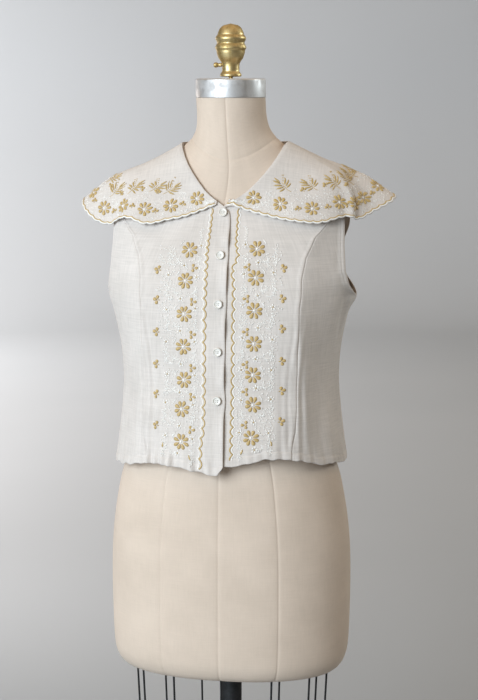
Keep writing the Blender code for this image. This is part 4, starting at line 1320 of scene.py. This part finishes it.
# Columns: x towards the front opening, y, direction with 90 upward and 0 away from the opening, length.
SPRAY_LEAVES = (
    (0.0010, -0.0052, 178, 0.0090), (0.0005, -0.0030, 159, 0.0110), (0.0010, -0.0006, 140, 0.0120),
    (0.0015, 0.0022, 120, 0.0122), (0.0012, 0.0042, 98, 0.0105), (0.0000, -0.0058, 2, 0.0090),
    (-0.0005, -0.0036, 18, 0.0105), (-0.0008, -0.0012, 35, 0.0100),
)

# Turns of the flowers on the collar's front, and of the sprays above them.
COLLAR_FLOWERS = (18.6, 31.0, 46.0, 64.5, 75.0, 84.5, 275.0, 289.0, 303.5, 319.0, 331.4, 342.6)
COLLAR_SPRAYS = (40.4, 54.6, 70.1, 83.3, 93.0, 277.0, 288.8, 302.2, 314.9, 323.0)


# Columns: number of the point, x and y of the stem there.
SPRAY_STEM = np.array((
    (0, -0.0010, -0.0140), (1, 0.0006, -0.0092), (2, 0.0008, -0.0040), (3, -0.0010, 0.0045),
))
SPRAY_SIZE = 1.16


def spray(work, turn, up, out):
    """A gold spray: slender leaves that fan out of a short curved stem, and one twig of small berries."""
    size = SPRAY_SIZE
    there = work.place(turn, up)
    stem = read(SPRAY_STEM, np.linspace(0, 3, 12)) * size
    stem_u, stem_v = there(-out * stem[:, 0], stem[:, 1])
    work.cord(stem_u, stem_v, 0.0011, 0.0006, GOLD, 3)
    for x, y, angle, length in SPRAY_LEAVES:
        way = 90 - out * (90 - angle) + jitter(3)
        work.petal(there, -out * x * size, y * size, way, length * size, 0.0031 * size, 0.0009, GOLD,
                   blunt=0.95, columns=3)
    for k in range(3):
        for sign in (-1, 1):
            x = out * (0.0040 + 0.0024 * k + 0.0007 * sign) * size
            y = (0.0035 + 0.0026 * k - 0.0008 * sign) * size
            knot(work, there, x, y, 0.0010, GOLD, 0.0008)


def dress_collar():
    """The collar's embroidery: its scalloped rim, a row of flowers, a row of sprays, and buds between."""
    work = Stitchwork(border_surface, 0.2, 0.001)
    run = np.linspace(0.003, RIM_RUN[-1] - 0.003, 1700)
    wave = scallop(run, RIM_PITCH)
    work.cord(turn_at(run), 0.0067 - 0.0026 * wave, 0.0021, 0.0009, GOLD)
    work.cord(turn_at(run), 0.0044 - 0.0026 * wave, 0.0028, 0.0007, WHITE)

    first_run, last_run = np.interp((96.0, 266.0), RIM_TURNS, RIM_RUN)
    behind = turn_at(np.arange(first_run, last_run, 0.0465))
    flowers = list(COLLAR_FLOWERS[:6]) + list(behind) + list(COLLAR_FLOWERS[6:])
    sprays = list(COLLAR_SPRAYS[:5]) + list(behind[:-1] + 5.5) + list(COLLAR_SPRAYS[5:])
    for index, turn in enumerate(flowers):
        depth = collar_depth(turn)
        up = 0.033 if depth > 0.05 else 0.68 * depth
        big_flower(work, turn, up, 0.0117)
        work.keep_clear(turn, up, 0.0135)
        if index + 1 < len(flowers) and depth > 0.06:
            middle = (turn + flowers[index + 1]) / 2
            bud(work, middle, 0.0285, 90 + jitter(50), 0.0092)
            work.keep_clear(middle, 0.0285, 0.0075)
    for index, turn in enumerate(sprays):
        up = min(0.077, collar_depth(turn) * 0.74)
        spray(work, turn, up, 1 if turn < 180 else -1)
        work.keep_clear(turn, up, 0.0160)
        if index + 1 < len(sprays):
            middle = (turn + sprays[index + 1]) / 2
            inner = min(0.069, collar_depth(middle) * 0.68)
            bud(work, middle, inner, 90 + jitter(60), 0.0088)
            work.keep_clear(middle, inner, 0.0075)

    def region(strewn):
        turn = turn_at(strewn.uniform(0.006, RIM_RUN[-1] - 0.006))
        return turn, strewn.uniform(0.0100, min(0.072, collar_depth(turn) * 0.72))

    ground_curls(work, 3400, region, 5, 0.0046, 0.0011, 0.0006)
    work.finish("collar_embroidery")


dress_collar()


# Hardware

def worn_metal(name, light, dark, roughness, metallic, scale):
    made, tree, shader = shader_of(name, light, roughness, metallic)
    patches = noise_node(tree, places(tree, "Object"), scale, 6.0, 0.6)
    paint(tree, shader, patches, ((0.38, dark), (0.60, light)))
    rough = ramp(tree, patches, ((0.35, (roughness * 1.5,) * 3), (0.65, (roughness * 0.8,) * 3)))
    tree.links.new(rough, shader.inputs["Roughness"])
    bump_into(tree, shader, patches, 0.0003, 0.35)
    return made


black_iron = worn_metal("black_enamel", (0.009, 0.009, 0.010), (0.005, 0.005, 0.005), 0.55, 0.0, 60.0)
brass = worn_metal("aged_brass", (0.74, 0.58, 0.29), (0.42, 0.30, 0.12), 0.42, 1.0, 90.0)
steel = worn_metal("brushed_steel", (0.72, 0.70, 0.68), (0.62, 0.60, 0.58), 0.50, 1.0, 50.0)


def rounded(profile, radius=0.0006):
    """The profile with each corner between its ends cut round by a small arc of straight steps."""
    made = [profile[0]]
    for before, here, after in zip(profile, profile[1:], profile[2:]):
        a, b, c = (np.array(p, float) for p in (before, here, after))
        back_way, way_on = np.linalg.norm(a - b), np.linalg.norm(c - b)
        reach = min(radius, back_way * 0.4, way_on * 0.4)
        start, end = b + (a - b) / back_way * reach, b + (c - b) / way_on * reach
        for t in np.linspace(0, 1, 4):
            made.append(tuple((1 - t) ** 2 * start + 2 * t * (1 - t) * b + t * t * end))
    made.append(profile[-1])
    return made


def smooth_profile(points, steps=4):
    """A smooth curve through the points of a turned shape, with its first and last stretch left straight."""
    table = np.array([(k, r, h) for k, (r, h) in enumerate(points)], float)
    places = np.linspace(1, len(points) - 2, (len(points) - 3) * steps + 1)
    curve = [tuple(p) for p in read(table, places)]
    return [points[0]] + curve + [points[-1]]


cap_bottom = FORM_TOP + SEAM_GAP
cap = rounded((
    (0.0, cap_bottom), (0.0525, cap_bottom), (0.0525, CAP_TOP - 0.0022), (0.0518, CAP_TOP - 0.0006),
    (0.0500, CAP_TOP), (0.0, CAP_TOP),
))
settle(lathe("neck_cap_metal", cap, 96, steel), "neck_cap")

seat = CAP_TOP + SEAM_GAP
knob = smooth_profile((
    (0.0, 0.0), (0.0034, 0.0), (0.0034, 0.0022), (0.0140, 0.0026), (0.0160, 0.0040), (0.0156, 0.0066),
    (0.0130, 0.0105), (0.0129, 0.0150), (0.0131, 0.0200), (0.0144, 0.0240), (0.0184, 0.0300),
    (0.0208, 0.0370), (0.0216, 0.0415),
    (0.0231, 0.0445), (0.0222, 0.0485), (0.0204, 0.0517), (0.0212, 0.0545), (0.0228, 0.0580),
    (0.0222, 0.0610), (0.0200, 0.0640), (0.0191, 0.0670), (0.0160, 0.0735), (0.0105, 0.0780), (0.0, 0.0805),
))
knob = [(radius, seat + height) for radius, height in knob]
settle(lathe("finial_knob", knob, 72, brass), "finial")

screw = rounded((
    (0.0, 0.0), (0.0028, 0.0), (0.0028, 0.0040), (0.0022, 0.0050), (0.0034, 0.0062), (0.0040, 0.0090),
    (0.0034, 0.0116), (0.0, 0.0128),
), 0.0005)
screw_place = Matrix.Translation((-0.0136, 0, CAP_TOP + 0.0200)) @ Matrix.Rotation(math.radians(-90), 4, "Y")
settle(lathe("thumb_screw", screw, 32, brass, screw_place), "finial_screw")

stand_pole = rounded((
    (0.0, 0.0303), (0.045, 0.0303), (0.045, 0.037), (0.034, 0.047), (0.0275, 0.066), (0.026, 0.090),
    (0.0165, 0.090), (0.0165, 0.5997), (0.0, 0.5997),
), 0.0015)
settle(lathe("stand_pole", stand_pole, 64, black_iron), "pole")

stand_foot = rounded((
    (0.0, 0.0), (0.266, 0.0), (0.270, 0.004), (0.270, 0.013), (0.265, 0.018), (0.160, 0.0255),
    (0.060, 0.0300), (0.0, 0.0300),
), 0.002)
settle(lathe("stand_foot", stand_foot, 128, black_iron), "base")


def ring_tube(name, centres, radius, sides, finish):
    """A closed hoop of round bar through its centres, which lie level."""
    count = len(centres)
    points, faces = [], []
    for k in range(count):
        along = unit(centres[(k + 1) % count] - centres[k - 1])
        outward = np.cross(along, (0, 0, 1))
        for m in range(sides):
            angle = 2 * math.pi * (m + 0.5) / sides
            way = outward * math.cos(angle) + np.array((0, 0, math.sin(angle)))
            points.append(centres[k] + radius * way)
    for k in range(count):
        for m in range(sides):
            a, b, n = k * sides, (k + 1) % count * sides, (m + 1) % sides
            faces.append((a + m, b + m, b + n, a + n))
    return mesh_object(name, np.array(points), faces, [finish])


hoop_angles = np.radians(np.arange(0, 360, 3.75))
hoop_level = np.full(len(hoop_angles), 0.400)
hoop = np.stack((0.143 * np.cos(hoop_angles), 0.090 * np.sin(hoop_angles), hoop_level), axis=-1)
settle(ring_tube("cage_hoop_bar", hoop, 0.003, 12, black_iron), "cage_hoop")

for number in range(1, 13):
    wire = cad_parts[f"cage_wire_{number:02d}"]
    wire.data.materials.clear()
    wire.data.materials.append(black_iron)


# Buttons

pearl, tree, shader = shader_of(
    "button_pearl", (0.74, 0.70, 0.63), 0.30, Coat_Weight=0.2, Coat_Roughness=0.25)
swirl = noise_node(tree, places(tree, "Object"), 220.0)
paint(tree, shader, swirl, ((0.35, (0.67, 0.63, 0.56)), (0.65, (0.80, 0.76, 0.69))))
bump_into(tree, shader, swirl, 0.0001, 0.3)
# A near-black finish for the button's four holes: painted shade, since the holes are not cut through the
# button.
hole_painted_shade, _, _ = shader_of("button_hole_painted_shade", (0.10, 0.09, 0.08), 0.9)


def button(name, level, node_name, tilt=0.0):
    """A four-hole button with a raised rim, sewn on with thread through its holes."""
    degrees = np.array(FRONT)
    centre = raised(TOP_SECTIONS, degrees, np.array(level), np.array(LAYER_STEP + 0.0007))
    outward = Vector(body_normal(TOP_SECTIONS, degrees, np.array(level)))
    place = Matrix.Translation(Vector(centre)) @ outward.to_track_quat("Z", "Y").to_matrix().to_4x4()
    place = place @ Matrix.Rotation(math.radians(tilt), 4, "X")
    r = BUTTON_RADIUS
    profile = [
        (0.0, 0.0), (r * 0.55, 0.0), (r * 0.80, 0.0001), (r * 0.93, 0.0005), (r, 0.0012), (r * 0.995, 0.0019),
        (r * 0.955, 0.0026), (r * 0.89, 0.0030), (r * 0.82, 0.0029), (r * 0.74, 0.0024), (r * 0.66, 0.0021),
        (r * 0.50, 0.0020), (0.0, 0.0020),
    ]
    made = lathe(name, smooth_profile(profile, 2), 48, pearl, smooth_angle=80)
    points, faces = [], []
    # The four holes are dark discs on the button's face: painted shade in place of real holes.
    for x, y in ((1, 1), (1, -1), (-1, 1), (-1, -1)):
        disc(points, faces, (x * 0.00125, y * 0.00125, 0.00206), 0.00062, 12)
    which = [0] * len(faces)
    for y in (1, -1):
        strand(points, faces, [(-0.00125, y * 0.00125, 0.0018), (-0.0006, y * 0.00125, 0.0025),
                               (0.0006, y * 0.00125, 0.0025), (0.00125, y * 0.00125, 0.0018)], 0.0004, 6)
    which += [1] * (len(faces) - len(which))
    finishes = [hole_painted_shade, white_thread]
    thread_piece = mesh_object(f"{name}_thread", np.array(points), faces, finishes, which=which)
    thread_piece.matrix_world = place
    made.matrix_world = place
    settle(thread_piece)
    settle(made, node_name)


def disc(points, faces, centre, radius, sides):
    """A small round plug, slightly domed, its underside pointed down into what it lies on."""
    start = len(points)
    points.append((centre[0], centre[1], centre[2] + 0.00003))
    points.append((centre[0], centre[1], centre[2] - 0.00030))
    for k in range(sides):
        angle = 2 * math.pi * k / sides
        points.append((centre[0] + radius * math.cos(angle), centre[1] + radius * math.sin(angle), centre[2]))
    for k in range(sides):
        here, after = start + 2 + k, start + 2 + (k + 1) % sides
        faces.append((start, here, after))
        faces.append((start + 1, after, here))


def strand(points, faces, path, radius, sides):
    """A round thread along a path, closed at its ends."""
    path = np.asarray(path, float)
    start = len(points)
    along = np.gradient(path, axis=0)
    for k, centre in enumerate(path):
        direction = unit(along[k])
        side = np.cross(direction, (0.0, 0.0, 1.0))
        side = unit(side)
        other = np.cross(direction, side)
        for m in range(sides):
            angle = 2 * math.pi * m / sides
            points.append(tuple(centre + radius * (side * math.cos(angle) + other * math.sin(angle))))
    for k in range(len(path) - 1):
        for m in range(sides):
            a, b, n = start + k * sides, start + (k + 1) * sides, (m + 1) % sides
            faces.append((a + m, a + n, b + n, b + m))
    faces.append(tuple(start + m for m in reversed(range(sides))))
    faces.append(tuple(start + (len(path) - 1) * sides + m for m in range(sides)))


for number, level in enumerate(BUTTON_LEVELS, 1):
    button(f"sewn_button_{number}", level, f"button_{number}", 4.0 if number == 2 else 0.0)


# Stage, light and camera

def pale_stage():
    """A wide pale floor that rises at its far edge into a plain backdrop all round."""
    profile = [(0.0, 0.0), (1.0, 0.0), (5.0, 0.0), (7.5, 0.0)]
    profile += [(7.5 + 1.6 * math.sin(a), 1.6 * (1 - math.cos(a))) for a in np.radians(np.arange(10, 91, 10))]
    profile += [(9.1, 7.0)]
    made, tree, shader = shader_of("pale_backdrop", (0.358, 0.390, 0.420), 0.95)
    tone = noise_node(tree, places(tree, "Object"), 0.8, 2.0)
    paint(tree, shader, tone, ((0.3, (0.351, 0.383, 0.413)), (0.7, (0.365, 0.397, 0.427))))
    floor = lathe("pale_floor", profile, 96, made, smooth_angle=80)
    floor.location.z = -0.0005


pale_stage()


def area_light(name, place, target, power, size, colour, spread=180.0):
    data = bpy.data.lights.new(name, "AREA")
    data.energy, data.size, data.color, data.spread = power, size, colour, math.radians(spread)
    lamp = bpy.data.objects.new(name, data)
    lamp.location = place
    lamp.visible_camera = False
    lamp.rotation_euler = (Vector(target) - Vector(place)).to_track_quat("-Z", "Y").to_euler()
    bpy.context.scene.collection.objects.link(lamp)


area_light("window_light", (-1.66, -2.86, 1.95), (0, 0, 1.15), 151.0, 2.0, (0.775, 0.89, 1.0))
area_light("backdrop_light", (-4.2, 5.2, 1.7), (-1.1, 8.8, 1.6), 210.0, 1.0, (1.0, 0.94, 0.91))
area_light("floor_light", (-3.4, 2.9, 1.5), (-1.9, 4.2, 0.0), 146.0, 1.2, (1.0, 0.93, 0.90))
area_light("near_floor_light", (-1.6, 1.7, 1.6), (-1.1, 1.9, 0.0), 3.3, 0.8, (1.0, 0.93, 0.90), 80.0)
area_light("back_fill", (2.9, 1.3, 2.3), (0.15, 0, 1.45), 3.6, 1.4, (0.85, 0.95, 1.0), 45.0)

world = bpy.data.worlds.new("soft_sky")
world.use_nodes = True
world.node_tree.nodes["Background"].inputs["Color"].default_value = (1.0, 0.785, 0.56, 1.0)
world.node_tree.nodes["Background"].inputs["Strength"].default_value = 0.60
bpy.context.scene.world = world
bpy.context.scene.view_settings.view_transform = "Standard"

camera_data = bpy.data.cameras.new("photo_camera")
camera_data.lens = LENS
camera_data.sensor_width = 36.0
camera_data.clip_end = 60.0
camera = bpy.data.objects.new("photo_camera", camera_data)
camera.location = CAMERA_PLACE
camera.rotation_euler = Vector(CAMERA_AIM).to_track_quat("-Z", "Y").to_euler()
bpy.context.scene.collection.objects.link(camera)
bpy.context.scene.camera = camera

bpy.context.view_layer.update()
